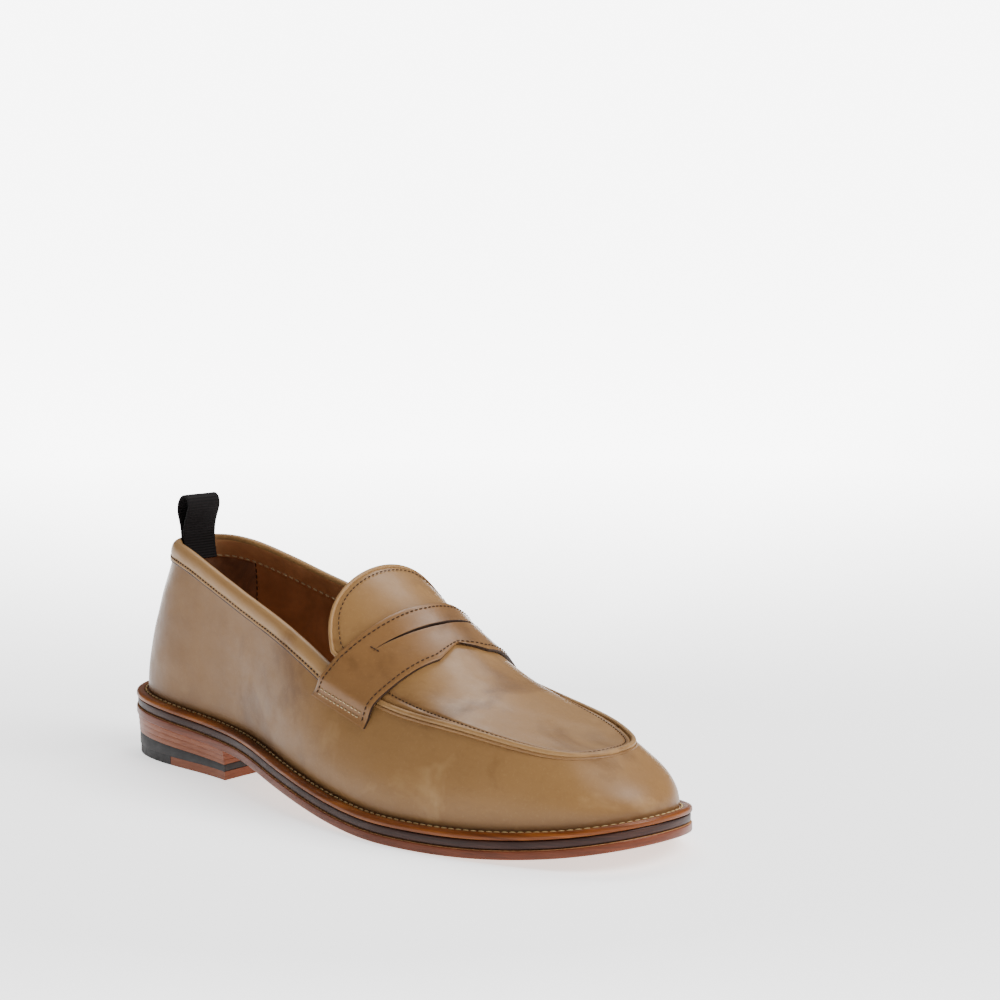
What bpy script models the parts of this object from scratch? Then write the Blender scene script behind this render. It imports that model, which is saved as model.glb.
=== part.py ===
"""Men's penny loafer, right foot: a welted leather shoe built up piece by piece.

+X runs to the toe, +Y to the inner (medial) side, +Z up. The shoe stands on z = 0.
All dimensions below are in millimetres; meshes are written in metres.
"""
import math

import bmesh
import bpy
import numpy as np

MM = 0.001

# ---- driving dimensions -------------------------------------------------------------
GAP = 0.3                 # clearance left between neighbouring solids
SKIN_GAP = 0.45           # the same between curved skins, whose facets differ
OUTSOLE = 3.7             # leather outsole
MIDSOLE = 3.3             # dark midsole
WELT = 2.6                # welt strip
FEATHER_INSET = 5.1       # sole edge to the foot of the upper
UPPER = 1.3               # upper leather
LINING = 0.8
STIFFENER = 0.7           # heel counter and toe puff
MARGIN = 10.0             # upper leather turned in under the insole
FOLD = 2.3                # outer radius of that turn
INSOLE = 2.6
SOCK = 1.0
HEEL_BREAST = 75.0        # front face of the heel
STRAP = 1.3
BEAD_R = 1.15             # raised seam round the apron
COLLAR_CLOTH = 1.0        # leather folded over the top edge
RIBBON = 1.1              # pull tab ribbon
RIBBON_WIDTH = 17.0
HEEL_BAND_LOW = 3.6       # top of the ground-contact layer
BREAST_BOW = 2.0          # the heel's front face is hollow by this much
LIFTS = 3
WALL_TOP_DROP = 1.9       # the wall stops this far below the collar's ridge or the apron seam
SEAM_START = 166.0        # where the wall's top edge turns from collar into apron seam
COLLAR_END = 150.0
APRON_CORNERS = (254.0, 252.0)  # x of the apron grid's front corners, outer and inner side
COUNTER_REACH = 0.12      # share of the way round, each side of the heel's back
PUFF_REACH = 0.085        # the same, each side of the toe
TONGUE = 1.2
TONGUE_REAR = 140.3
TONGUE_FRONT = 167.0
TONGUE_HALF = 34.5
TONGUE_HINGE = (165.0, 0.0, 83.5)
TAB_REACH = 0.025         # half the ribbon's width as a share of the way round the shoe
TAB_HINGE = (25.0, 0.0, 92.8)
ANCHOR_RISE = 1.6         # the sewn-in ends reach this far above the lining's top row
TURN_SHARE = 0.55         # how strongly the columns crowd where the edge turns

# Stations round the shoe, heel back first, then the outer side, the toe and the inner side:
# sole edge x, y; top edge of the wall x, y, z; low handle height, bulge; high handle drop, bulge.
STATIONS = [
    (0.0, 0.0, 19.0, 0.0, 90.2, 21, 0.8, 21, 5.0),
    (8.0, -20.5, 24.8, -11.6, 90.3, 20, 0.8, 20, 4.6),
    (30.0, -30.0, 38.2, -17.6, 89.4, 19, 1.2, 19, 3.6),
    (60.0, -31.2, 62.0, -22.9, 84.0, 18, 1.6, 18, 2.0),
    (90.0, -35.2, 90.0, -27.6, 76.7, 16, 1.8, 18, 1.8),
    (120.0, -44.9, 119.0, -33.0, 69.8, 15, 2.0, 17, 3.2),
    (146.0, -51.0, 145.0, -37.0, 61.0, 14, 2.2, 15, 4.6),
    (168.0, -54.2, 166.0, -38.3, 52.6, 13, 2.4, 13, 5.6),
    (192.0, -56.0, 190.0, -38.7, 47.9, 13, 2.5, 11, 6.4),
    (216.0, -53.9, 214.0, -38.4, 46.7, 12, 2.5, 10, 6.4),
    (240.0, -48.5, 236.0, -35.3, 44.6, 12, 2.2, 9, 6.2),
    (261.0, -41.0, 254.0, -28.7, 41.6, 11, 1.6, 7.5, 6.6),
    (279.0, -31.8, 265.5, -20.0, 40.1, 10, 1.0, 6.5, 8.0),
    (290.0, -19.0, 269.8, -10.0, 39.7, 10, 0.6, 5.5, 9.0),
    (294.0, 1.0, 270.5, 0.0, 39.9, 10, 0.5, 5.5, 9.2),
    (289.0, 19.0, 268.0, 9.3, 40.4, 10, 0.6, 5.5, 9.0),
    (273.0, 34.0, 258.5, 16.8, 41.6, 11, 1.4, 7.0, 8.0),
    (250.0, 44.0, 242.0, 22.8, 43.6, 12, 2.2, 8.5, 8.0),
    (222.0, 47.5, 218.0, 27.6, 45.7, 12, 2.6, 10, 8.0),
    (195.0, 45.0, 193.0, 31.0, 48.4, 13, 2.8, 11, 6.6),
    (170.0, 38.8, 169.0, 34.0, 52.6, 14, 4.0, 13, 4.4),
    (146.0, 33.2, 145.0, 35.4, 61.2, 14, 5.0, 15, 2.6),
    (118.0, 29.6, 118.0, 31.8, 69.0, 15, 4.4, 17, 1.4),
    (88.0, 30.0, 88.0, 26.8, 76.2, 16, 3.0, 18, 1.2),
    (60.0, 31.4, 62.0, 22.6, 83.4, 18, 2.0, 18, 2.0),
    (30.0, 30.2, 38.2, 17.8, 89.2, 19, 1.2, 19, 3.6),
    (8.0, 20.5, 24.8, 11.7, 90.3, 20, 0.8, 20, 4.6),
]

# Underside of the outsole along the shoe: raised heel seat, waist, ball on the ground, toe spring.
UNDERSIDE = [(0, 17.2), (35, 15.4), (64, 13.4), (99, 11.0), (129, 7.5), (159, 2.8), (189, 0.15),
             (205, 0.0), (219, 0.15), (249, 1.8), (274, 5.2), (296, 9.6)]

# Line along the top of the instep, from the tongue's edge to the apron's toe: x, height.
CREST = [(128, 99.0), (140, 93.8), (161, 81.2), (184, 67.8), (204, 57.6), (229, 48.6), (250, 43.4),
         (262, 41.2), (272, 40.4)]
CENTRE = [(128, -1.5), (184, -2.5), (204, -4.0), (229, -5.5), (250, -5.5), (272, -1.0)]

# Saddle strap: share of the way from the centre to an end, and x there.
STRAP_REAR = [(0.0, 164.2), (0.13, 163.6), (0.37, 161.6), (0.58, 157.4), (0.8, 151.2), (0.9, 147.6),
              (1.0, 143.4)]
STRAP_FRONT = [(0.0, 190.0), (0.25, 189.6), (0.373, 188.8), (0.58, 185.8), (0.756, 181.4), (0.86, 178.0),
               (0.943, 175.6), (1.0, 174.0)]
STRAP_AXIS_Z = 45.0       # the strap's spokes turn about this height
STRAP_REACH = (81.0, 96.5)   # spoke angle from upright at the rear and the front corner, degrees
NOTCH = (0.2, 4.6)        # half width as a share of the strap, and depth of the V
SEAM_PLACE = (0.88, 0.11)    # where and how widely the strap rides up over the collar's end and the seam
SEAM_RISE = 1.9
STRAP_LIFT = 1.0          # clearance under the strap
SLIT = (0.56, 0.42, 0.3, 1.25)   # half length share, middle place, sweep back, half width


# ---- curves ---------------------------------------------------------------------------
def ring_curve(values):
    """Closed smooth curve through rows of values; returns f(share of the way round)."""
    rows = np.array(values, float)
    count = len(rows)
    steps = np.linalg.norm(np.roll(rows[:, :2], -1, axis=0) - rows[:, :2], axis=1)
    knots = np.concatenate([[0.0], np.cumsum(steps)])
    before = np.roll(steps, 1)
    slopes = (np.roll(rows, -1, axis=0) - rows) / steps[:, None]
    matrix = np.zeros((count, count))
    for i in range(count):
        matrix[i, i - 1] += before[i]
        matrix[i, i] += 2 * (before[i] + steps[i])
        matrix[i, (i + 1) % count] += steps[i]
    bends = np.linalg.solve(matrix, 6 * (slopes - np.roll(slopes, 1, axis=0)))

    def at(share):
        place = np.mod(np.asarray(share, float), 1.0) * knots[-1]
        i = np.clip(np.searchsorted(knots, place, side="right") - 1, 0, count - 1)
        j = (i + 1) % count
        width = steps[i][..., None]
        a = (place - knots[i])[..., None]
        b = width - a
        return ((bends[i] * b**3 + bends[j] * a**3) / (6 * width)
                + (rows[i] / width - bends[i] * width / 6) * b
                + (rows[j] / width - bends[j] * width / 6) * a)
    return at


def line_curve(points):
    """Smooth curve y(x) through points, straight beyond its ends."""
    x, y = np.array(points, float).T
    count = len(x)
    steps = np.diff(x)
    slopes = np.diff(y) / steps
    matrix = np.eye(count)
    right = np.zeros(count)
    for i in range(1, count - 1):
        matrix[i, i - 1:i + 2] = steps[i - 1], 2 * (steps[i - 1] + steps[i]), steps[i]
        right[i] = 6 * (slopes[i] - slopes[i - 1])
    bends = np.linalg.solve(matrix, right)

    def at(place):
        place = np.clip(np.asarray(place, float), x[0], x[-1])
        i = np.clip(np.searchsorted(x, place, side="right") - 1, 0, count - 2)
        width = steps[i]
        a = place - x[i]
        b = width - a
        return ((bends[i] * b**3 + bends[i + 1] * a**3) / (6 * width)
                + (y[i] / width - bends[i] * width / 6) * b
                + (y[i + 1] / width - bends[i + 1] * width / 6) * a)
    return at


station = ring_curve(STATIONS)
underside = line_curve(UNDERSIDE)
crest = line_curve(CREST)
centre = line_curve(CENTRE)
strap_rear = line_curve(STRAP_REAR)
strap_front = line_curve(STRAP_FRONT)

ROUND = np.linspace(0, 1, 2000, endpoint=False)
EDGE = station(ROUND)[:, :2]
TOE_SHARE = ROUND[np.argmax(EDGE[:, 0])]
ORIGIN = np.array([(EDGE[:, 0].min() + EDGE[:, 0].max()) / 2, (EDGE[:, 1].min() + EDGE[:, 1].max()) / 2, 0.0])


def midsole_bottom(x):
    return underside(x) + OUTSOLE + GAP


def midsole_top(x):
    return midsole_bottom(x) + MIDSOLE


def welt_top(x):
    return midsole_top(x) + GAP + WELT


def insole_bottom(x):
    return midsole_top(x) + GAP + UPPER + GAP


def insole_top(x):
    return insole_bottom(x) + INSOLE


def outward(share):
    """Level unit vector pointing out of the shoe at a place round its edge."""
    step = station(np.asarray(share) + 1e-4)[..., :2] - station(np.asarray(share) - 1e-4)[..., :2]
    step /= np.linalg.norm(step, axis=-1, keepdims=True)
    return np.stack([step[..., 1], -step[..., 0]], axis=-1)


def edge_inset(share, inset):
    return station(share)[..., :2] - outward(share) * inset


def share_at(x, side):
    """Place round the shoe where the wall's top edge passes x, on side -1 (outer) or +1 (inner)."""
    half = (ROUND < TOE_SHARE) if side < 0 else (ROUND > TOE_SHARE)
    places = ROUND[half]
    tops = station(places)[:, 2]
    order = np.argsort(tops)
    return float(np.interp(x, tops[order], places[order]))


def even_columns(count):
    """Places round the shoe, closer together where the edge turns."""
    step = np.roll(EDGE, -1, axis=0) - EDGE
    heading = np.arctan2(step[:, 1], step[:, 0])
    turn = np.abs(np.angle(np.exp(1j * (np.roll(heading, -1) - heading))))
    weight = np.linalg.norm(step, axis=1) / 760.0 + turn / (2 * np.pi) * TURN_SHARE
    total = np.concatenate([[0.0], np.cumsum(weight)])
    return np.interp(np.arange(count) / count * total[-1], total, np.append(ROUND, 1.0))


COLUMNS = even_columns(72)
RISES = [0.9, 0.82, 0.67, 0.52, 0.37, 0.22, 0.1, 0.0]


def columns_between(start, stop):
    """The shared columns from start to stop, with both ends."""
    every = np.concatenate([COLUMNS - 1, COLUMNS, COLUMNS + 1])
    inside = every[(every > start + 0.003) & (every < stop - 0.003)]
    return np.concatenate([[start], inside, [stop]])


def rises_between(high, low):
    """The wall's own rows from high down to low, with both ends."""
    inside = [r for r in RISES if low + 0.02 < r < high - 0.02]
    return np.array([high] + inside + [low])


# ---- surfaces of the upper ------------------------------------------------------------
def wall_point(share, rise):
    """Outer face of the upper's wall: rise 0 at the welt, 1 at the top edge."""
    row = station(share)
    out = np.concatenate([outward(share), np.zeros(np.shape(share) + (1,))], axis=-1)
    up = np.array([0.0, 0.0, 1.0])
    foot_xy = row[..., :2] - out[..., :2] * FEATHER_INSET
    foot = np.concatenate([foot_xy, welt_top(foot_xy[..., 0])[..., None]], axis=-1)
    top = row[..., 2:5]
    low = foot + up * row[..., 5:6] + out * row[..., 6:7]
    high = top - up * row[..., 7:8] + out * row[..., 8:9]
    t = np.asarray(rise, float)[..., None]
    return foot * (1 - t)**3 + 3 * low * t * (1 - t)**2 + 3 * high * t**2 * (1 - t) + top * t**3


def wall_frame(share, rise):
    """Point on the wall, the way out of it and the way up it."""
    step = 2e-3
    across = wall_point(share + step, rise) - wall_point(share - step, rise)
    up = wall_point(share, rise + step) - wall_point(share, rise - step)
    up /= np.linalg.norm(up, axis=-1, keepdims=True)
    out = np.cross(across, up)
    out /= np.linalg.norm(out, axis=-1, keepdims=True)
    return wall_point(share, rise), out, up


def skin(shares, rises, depth):
    """Grid on the wall, sunk inwards by depth, a number or a grid of them."""
    point, out, _ = wall_frame(*np.meshgrid(shares, rises))
    return point - out * np.broadcast_to(depth, out.shape[:-1])[..., None]


def seam_place(x, side):
    """Level place of the apron seam on one side, at x."""
    half = (ROUND < TOE_SHARE) if side < 0 else (ROUND > TOE_SHARE)
    rows = station(ROUND[half])
    order = np.argsort(rows[:, 2])
    return np.interp(x, rows[order, 2], rows[order, 3]), np.interp(x, rows[order, 2], rows[order, 4])


def instep_height(x, y):
    """Top of the instep and apron over a level place."""
    x = np.asarray(x, float)
    y = np.asarray(y, float)
    middle = centre(x)
    reach_x = np.clip(x, SEAM_START, 269.0)
    outer_y, outer_z = seam_place(reach_x, -1)
    inner_y, inner_z = seam_place(reach_x, 1)
    width = np.where(y < middle, middle - outer_y, inner_y - middle)
    side = np.where(y < middle, outer_z, inner_z)
    drop = np.maximum(crest(reach_x) - side, 0.0)
    q = (y - middle) / width
    return crest(x) - drop * (0.68 * q**2 + 0.32 * q**4)


def section(x):
    """Cross-section of the closed upper at x: level and upright coordinates, outer side first."""
    rises = np.linspace(0.05, 1.0, 24)
    sides = []
    for side in (-1, 1):
        places = np.linspace(share_at(100.0, side), share_at(240.0, side), 90)
        grid = wall_point(*np.meshgrid(places, rises))
        rows = []
        for row in grid:
            order = np.argsort(row[:, 0])
            places_y, places_z = row[order, 1], row[order, 2]
            rows.append((np.interp(x, row[order, 0], places_y), np.interp(x, row[order, 0], places_z)))
        sides.append(np.array(rows))
    left, right = sides
    y = np.linspace(left[-1, 0], right[-1, 0], 41)[1:-1]
    arch = np.stack([y, instep_height(np.full_like(y, x), y)], axis=1)
    return np.vstack([left, arch, right[::-1]])


def spoke_length(x, angle):
    """Distance from the strap's axis to the upper along a spoke; angle is from the outer side, degrees."""
    line = section(x)
    y0 = float(centre(x))
    angles = np.degrees(np.arctan2(line[:, 1] - STRAP_AXIS_Z, -(line[:, 0] - y0)))
    reach = np.hypot(line[:, 0] - y0, line[:, 1] - STRAP_AXIS_Z)
    order = np.argsort(angles)
    fine = np.linspace(-25, 205, 231)
    raw = np.interp(fine, angles[order], reach[order])
    window = np.exp(-0.5 * (np.arange(-12, 13) / 4.5)**2)
    window /= window.sum()
    soft = np.convolve(np.pad(raw, 12, mode="edge"), window, mode="valid")
    return np.interp(angle, fine, np.maximum(raw, soft))


def strap_point(s, t, lift):
    """Point over the upper: s from the outer end (-1) to the inner end (1), t from rear to front edge."""
    reach = STRAP_REACH[0] + (STRAP_REACH[1] - STRAP_REACH[0]) * t
    angle = 90.0 + s * reach
    front = float(strap_front(abs(s))) - NOTCH[1] * max(0.0, 1 - abs(s) / NOTCH[0])
    x = (1 - t) * float(strap_rear(abs(s))) + t * front
    seam = math.exp(-((abs(s) - SEAM_PLACE[0]) / SEAM_PLACE[1])**2)
    length = float(spoke_length(x, angle)) + lift + SEAM_RISE * seam
    rad = math.radians(angle)
    return (x, float(centre(x)) - length * math.cos(rad), STRAP_AXIS_Z + length * math.sin(rad))


# ---- mesh making ----------------------------------------------------------------------
def clear_scene():
    for thing in list(bpy.data.objects):
        bpy.data.objects.remove(thing, do_unlink=True)


def group(name):
    collection = bpy.data.collections.new(name)
    bpy.context.scene.collection.children.link(collection)
    return collection


def leather(name, colour, roughness, metallic=0.0):
    material = bpy.data.materials.new(name)
    material.use_nodes = True
    shader = material.node_tree.nodes["Principled BSDF"]
    shader.inputs["Base Color"].default_value = (*colour, 1.0)
    shader.inputs["Roughness"].default_value = roughness
    shader.inputs["Metallic"].default_value = metallic
    return material


def place(points):
    """Design millimetres to metres about the row's origin."""
    return (np.asarray(points, float) - ORIGIN) * MM


def add_object(name, mesh, material, smooth=True, origin=None):
    """New object; origin is the design point its own origin goes to, such as a hinge."""
    thing = bpy.data.objects.new(name, mesh)
    if origin is not None:
        thing.location = place(origin)
        for vert in mesh.vertices:
            vert.co -= thing.location
    SHOE.objects.link(thing)
    mesh.materials.append(material)
    if smooth:
        mesh.shade_smooth()
        mesh.set_sharp_from_angle(angle=math.radians(35))
    return thing


def loft(name, material, outer, inner, wrap=False, skip=(), origin=None):
    """Closed solid between two matching grids of points; skip lists (row, column) faces left open."""
    outer = place(outer)
    inner = place(inner)
    rows, columns = outer.shape[:2]
    bm = bmesh.new()
    top = [[bm.verts.new(p) for p in line] for line in outer]
    low = [[bm.verts.new(p) for p in line] for line in inner]
    last = columns if wrap else columns - 1
    present = {(r, c) for r in range(rows - 1) for c in range(last)} - set(skip)
    for r, c in sorted(present):
        d = (c + 1) % columns
        bm.faces.new((top[r][c], top[r + 1][c], top[r + 1][d], top[r][d]))
        bm.faces.new((low[r][d], low[r + 1][d], low[r + 1][c], low[r][c]))
    for r, c in sorted(present):
        d = (c + 1) % columns
        before = (c - 1) % columns if wrap else c - 1
        after = (c + 1) % columns if wrap else c + 1
        if (r - 1, c) not in present:
            bm.faces.new((top[r][c], top[r][d], low[r][d], low[r][c]))
        if (r + 1, c) not in present:
            bm.faces.new((top[r + 1][d], top[r + 1][c], low[r + 1][c], low[r + 1][d]))
        if (r, before) not in present:
            bm.faces.new((top[r + 1][c], top[r][c], low[r][c], low[r + 1][c]))
        if (r, after) not in present:
            bm.faces.new((top[r][d], top[r + 1][d], low[r + 1][d], low[r][d]))
    loose = [v for v in bm.verts if not v.link_faces]
    bmesh.ops.delete(bm, geom=loose, context="VERTS")
    bmesh.ops.remove_doubles(bm, verts=bm.verts, dist=1e-5)
    bmesh.ops.dissolve_degenerate(bm, edges=bm.edges, dist=1e-6)
    bmesh.ops.recalc_face_normals(bm, faces=bm.faces)
    mesh = bpy.data.meshes.new(name)
    bm.to_mesh(mesh)
    bm.free()
    return add_object(name, mesh, material, origin=origin)


def plank(name, material, inset, start, stop, bottom, top, columns=40, bow=0.0):
    """Sole layer between two heights: its outline keeps an inset from the sole's edge."""
    outline = edge_inset(ROUND, inset)
    toe = int(np.argmax(outline[:, 0]))
    heel = int(np.argmin(outline[:, 0]))
    turned = np.roll(outline, -heel, axis=0)
    toe = (toe - heel) % len(outline)
    outer, inner = turned[:toe + 1], turned[toe:][::-1]
    low_x = max(start, outline[:, 0].min())
    high_x = min(stop, outline[:, 0].max())
    share = (1 - np.cos(np.linspace(0, np.pi, columns))) / 2
    from_end = start > outline[:, 0].min()
    to_end = stop < outline[:, 0].max()
    if from_end and to_end:
        share = np.linspace(0, 1, columns)
    elif to_end:
        share = 1 - np.cos(np.linspace(0, np.pi / 2, columns))
    elif from_end:
        share = np.sin(np.linspace(0, np.pi / 2, columns))
    x = low_x + (high_x - low_x) * share
    order = np.argsort(outer[:, 0])
    y_outer = np.interp(x, outer[order, 0], outer[order, 1])
    order = np.argsort(inner[:, 0])
    y_inner = np.interp(x, inner[order, 0], inner[order, 1])
    across = np.linspace(0, 1, 3)[:, None]
    y = y_outer[None, :] * (1 - across) + y_inner[None, :] * across
    bowed = x[None, :] + bow * (2 * across - 1)**2 * (share[None, :] if to_end else 0.0)
    upper = np.stack([bowed, y, top(bowed)], axis=-1)
    lower = np.stack([bowed, y, bottom(bowed)], axis=-1)
    return loft(name, material, upper, lower)


def profile_ring(name, material, shares, profile, wrap):
    """Strip swept round the shoe; profile gives (inset, height over the midsole) corners."""
    corners = list(profile) + [profile[0]]
    lines = []
    for inset, height in corners:
        level = edge_inset(shares, inset)
        lines.append(np.concatenate([level, (midsole_top(level[:, 0]) + height)[:, None]], axis=1))
    return sweep(name, material, np.array(lines)[:-1], wrap)


def sweep(name, material, lines, wrap, origin=None):
    """Closed solid from a closed cross-section's lines, each a row of points along the sweep."""
    points = place(lines)
    corners, count = points.shape[:2]
    bm = bmesh.new()
    verts = [[bm.verts.new(p) for p in line] for line in points]
    last = count if wrap else count - 1
    for c in range(corners):
        d = (c + 1) % corners
        for i in range(last):
            j = (i + 1) % count
            bm.faces.new((verts[c][i], verts[c][j], verts[d][j], verts[d][i]))
    if not wrap:
        bm.faces.new([line[0] for line in verts])
        bm.faces.new([line[-1] for line in reversed(verts)])
    bmesh.ops.recalc_face_normals(bm, faces=bm.faces)
    mesh = bpy.data.meshes.new(name)
    bm.to_mesh(mesh)
    bm.free()
    return add_object(name, mesh, material, origin=origin)


def cord(name, material, points, radius, closed=False, resolution=1):
    """Round cord along points, as a closed mesh."""
    curve = bpy.data.curves.new(name, "CURVE")
    curve.dimensions = "3D"
    curve.bevel_depth = radius * MM
    curve.bevel_resolution = resolution
    curve.use_fill_caps = True
    spline = curve.splines.new("POLY")
    spline.points.add(len(points) - 1)
    for knot, point in zip(spline.points, place(points)):
        knot.co = (*point, 1.0)
    spline.use_cyclic_u = closed
    guide = bpy.data.objects.new(name + ".guide", curve)
    SHOE.objects.link(guide)
    shape = guide.evaluated_get(bpy.context.evaluated_depsgraph_get())
    mesh = bpy.data.meshes.new_from_object(shape)
    bpy.data.objects.remove(guide, do_unlink=True)
    bm = bmesh.new()
    bm.from_mesh(mesh)
    bmesh.ops.remove_doubles(bm, verts=bm.verts, dist=1e-6)
    bmesh.ops.recalc_face_normals(bm, faces=bm.faces)
    bm.to_mesh(mesh)
    bm.free()
    mesh.name = name
    mesh.materials.clear()
    return add_object(name, mesh, material)


def slab(name, material, outline, z_low, z_high):
    """Flat piece: a level outline extruded between two heights."""
    curve = bpy.data.curves.new(name, "CURVE")
    curve.dimensions = "2D"
    curve.fill_mode = "BOTH"
    curve.extrude = (z_high - z_low) / 2 * MM
    spline = curve.splines.new("POLY")
    spline.points.add(len(outline) - 1)
    for knot, (x, y) in zip(spline.points, outline):
        knot.co = ((x - ORIGIN[0]) * MM, (y - ORIGIN[1]) * MM, 0.0, 1.0)
    spline.use_cyclic_u = True
    guide = bpy.data.objects.new(name + ".guide", curve)
    SHOE.objects.link(guide)
    shape = guide.evaluated_get(bpy.context.evaluated_depsgraph_get())
    mesh = bpy.data.meshes.new_from_object(shape)
    bpy.data.objects.remove(guide, do_unlink=True)
    bm = bmesh.new()
    bm.from_mesh(mesh)
    bmesh.ops.translate(bm, verts=bm.verts, vec=(0, 0, (z_low + z_high) / 2 * MM))
    bmesh.ops.remove_doubles(bm, verts=bm.verts, dist=1e-6)
    bmesh.ops.recalc_face_normals(bm, faces=bm.faces)
    bm.to_mesh(mesh)
    bm.free()
    mesh.name = name
    mesh.materials.clear()
    return add_object(name, mesh, material, smooth=False)


# ---- sole and heel --------------------------------------------------------------------
def heel_band_top(x):
    return 9.8 - 3.2 * np.asarray(x, float) / HEEL_BREAST


def build_sole():
    plank("outsole", SOLE_LEATHER, 0.0, -1, 400, underside, lambda x: underside(x) + OUTSOLE, 44)
    plank("midsole", MIDSOLE_DARK, 0.6, -1, 400, midsole_bottom, midsole_top, 44)
    shares = COLUMNS
    base = GAP
    top = GAP + WELT
    groove = top - 0.7
    profile = [(0.4, base), (0.0, base + 0.6), (0.0, top - 0.7), (0.5, top), (1.8, top), (2.0, groove),
               (2.9, groove), (3.1, top), (FEATHER_INSET - GAP, top), (FEATHER_INSET - GAP, base)]
    profile_ring("welt", WELT_AMBER, shares, profile, True)
    level = edge_inset(shares, 2.45)
    height = midsole_top(level[:, 0]) + groove + GAP + 0.42
    cord("welt_thread", THREAD, np.column_stack([level, height]), 0.42, closed=True)


def build_inside_of_sole():
    inner_edge = FEATHER_INSET + FOLD + MARGIN + 1.0
    plank("cork_filler", CORK, inner_edge, 132, 400, lambda x: midsole_top(x) + GAP,
          lambda x: insole_bottom(x) - GAP, 26)
    rail = np.linspace(40, 126, 14)
    lines = []
    for side, lift in ((-6, 0.35), (6, 0.35), (6, 1.45), (-6, 1.45)):
        lines.append(np.column_stack([rail, np.full_like(rail, side - 2.0), midsole_top(rail) + lift]))
    sweep("shank", STEEL, np.array(lines), False)
    plank("insole", INSOLE_TAN, FEATHER_INSET + UPPER + 1.1, -1, 400, insole_bottom, insole_top, 36)
    plank("sock_liner", SOCK_LEATHER, 9.6, -1, 400, lambda x: insole_top(x) + GAP,
          lambda x: insole_top(x) + GAP + SOCK, 34)


def build_heel():
    def seat(x):
        return underside(x) - GAP

    def layer(k):
        share = k / LIFTS
        return lambda x: heel_band_top(x) + GAP + (seat(x) + GAP - heel_band_top(x) - GAP) * share

    for k in range(LIFTS):
        bottom = layer(k)
        top = layer(k + 1)
        plank("heel_lift_%d" % (LIFTS - k), STACKED, 0.5 + 0.2 * (LIFTS - k), -1, HEEL_BREAST, bottom,
              lambda x, top=top: top(x) - GAP, 18, bow=BREAST_BOW)
    plank("heel_rubber_lift", RUBBER, 1.3, -1, HEEL_BREAST, lambda x: np.full_like(x, HEEL_BAND_LOW + GAP),
          heel_band_top, 18, bow=BREAST_BOW)
    outline = edge_inset(ROUND, 1.6)
    outline = outline[outline[:, 0] < HEEL_BREAST + 2 * BREAST_BOW]
    heel = int(np.argmin(outline[:, 0]))
    near = outline[outline[:, 1] < 0]
    far = outline[outline[:, 1] >= 0]
    near = near[np.argsort(near[:, 0])]
    far = far[np.argsort(far[:, 0])]

    def side_y(side, x):
        return np.interp(x, side[:, 0], side[:, 1])

    def join(y):
        return 33.0 + 7.0 * (y / 28.0)**2

    arc_y = np.linspace(-28.2, 29.0, 13)
    x_near = np.linspace(join(28.2) + GAP, HEEL_BREAST + BREAST_BOW, 8)
    front = [(x, side_y(near, x)) for x in x_near]
    front += [(HEEL_BREAST + BREAST_BOW * (y / 30)**2, y) for y in np.linspace(-20, 20, 5)]
    front += [(x, side_y(far, x)) for x in x_near[::-1]]
    front += [(join(y) + GAP, y) for y in arc_y[::-1][1:-1]]
    slab("heel_top_piece", STACKED, front, 0.0, HEEL_BAND_LOW)
    angles = np.linspace(0, np.pi / 2, 12)
    low_x = outline[heel, 0]
    x_back = low_x + (join(28.2) - low_x) * (1 - np.cos(angles))
    back = [(x, side_y(near, x)) for x in x_back]
    back += [(join(y), y) for y in arc_y[1:-1]]
    back += [(x, side_y(far, x)) for x in x_back[::-1][:-1]]
    slab("heel_corner_rubber", RUBBER, back, 0.0, HEEL_BAND_LOW)


# ---- upper ----------------------------------------------------------------------------
def rise_below_top(share, drop):
    """Rise parameter at a straight distance below the wall's top edge."""
    tries = np.linspace(0.5, 1.0, 101)
    points = wall_point(np.full_like(tries, share), tries)
    away = np.linalg.norm(points - points[-1], axis=1)
    return float(np.interp(-drop, -away, tries))


def build_wall():
    shares = COLUMNS
    ends = np.array([rise_below_top(s, WALL_TOP_DROP) for s in shares])
    outer = []
    inner = []
    for rise in [ends] + RISES:
        point, out, _ = wall_frame(shares, rise * np.ones_like(shares))
        outer.append(point)
        inner.append(point - out * UPPER)

    def turned(inset, height):
        level = edge_inset(shares, inset)
        return np.column_stack([level, midsole_top(level[:, 0]) + height])

    for angle in (0, 30, 60, 90):
        a = math.radians(angle)
        outer.append(turned(FEATHER_INSET + FOLD * (1 - math.cos(a)), GAP + FOLD * (1 - math.sin(a))))
        small = FOLD - UPPER
        inner.append(turned(FEATHER_INSET + FOLD - small * math.cos(a), GAP + FOLD - small * math.sin(a)))
    outer.append(turned(FEATHER_INSET + FOLD + MARGIN, GAP))
    inner.append(turned(FEATHER_INSET + FOLD + MARGIN, GAP + UPPER))
    loft("upper_wall", CALF, np.array(outer), np.array(inner), wrap=True)


def coons(lateral, toe, medial, rear, rows, columns):
    """Level grid filling the U between four matching edges."""
    t = np.linspace(0, 1, rows)[:, None, None]
    s = np.linspace(0, 1, columns)[None, :, None]
    left = lateral[:, None, :]
    right = medial[:, None, :]
    back = rear[None, :, :]
    front = toe[None, :, :]
    corners = ((1 - s) * (1 - t) * rear[0] + s * (1 - t) * rear[-1] + (1 - s) * t * toe[0] + s * t * toe[-1])
    return (1 - s) * left + s * right + (1 - t) * back + t * front - corners


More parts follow.
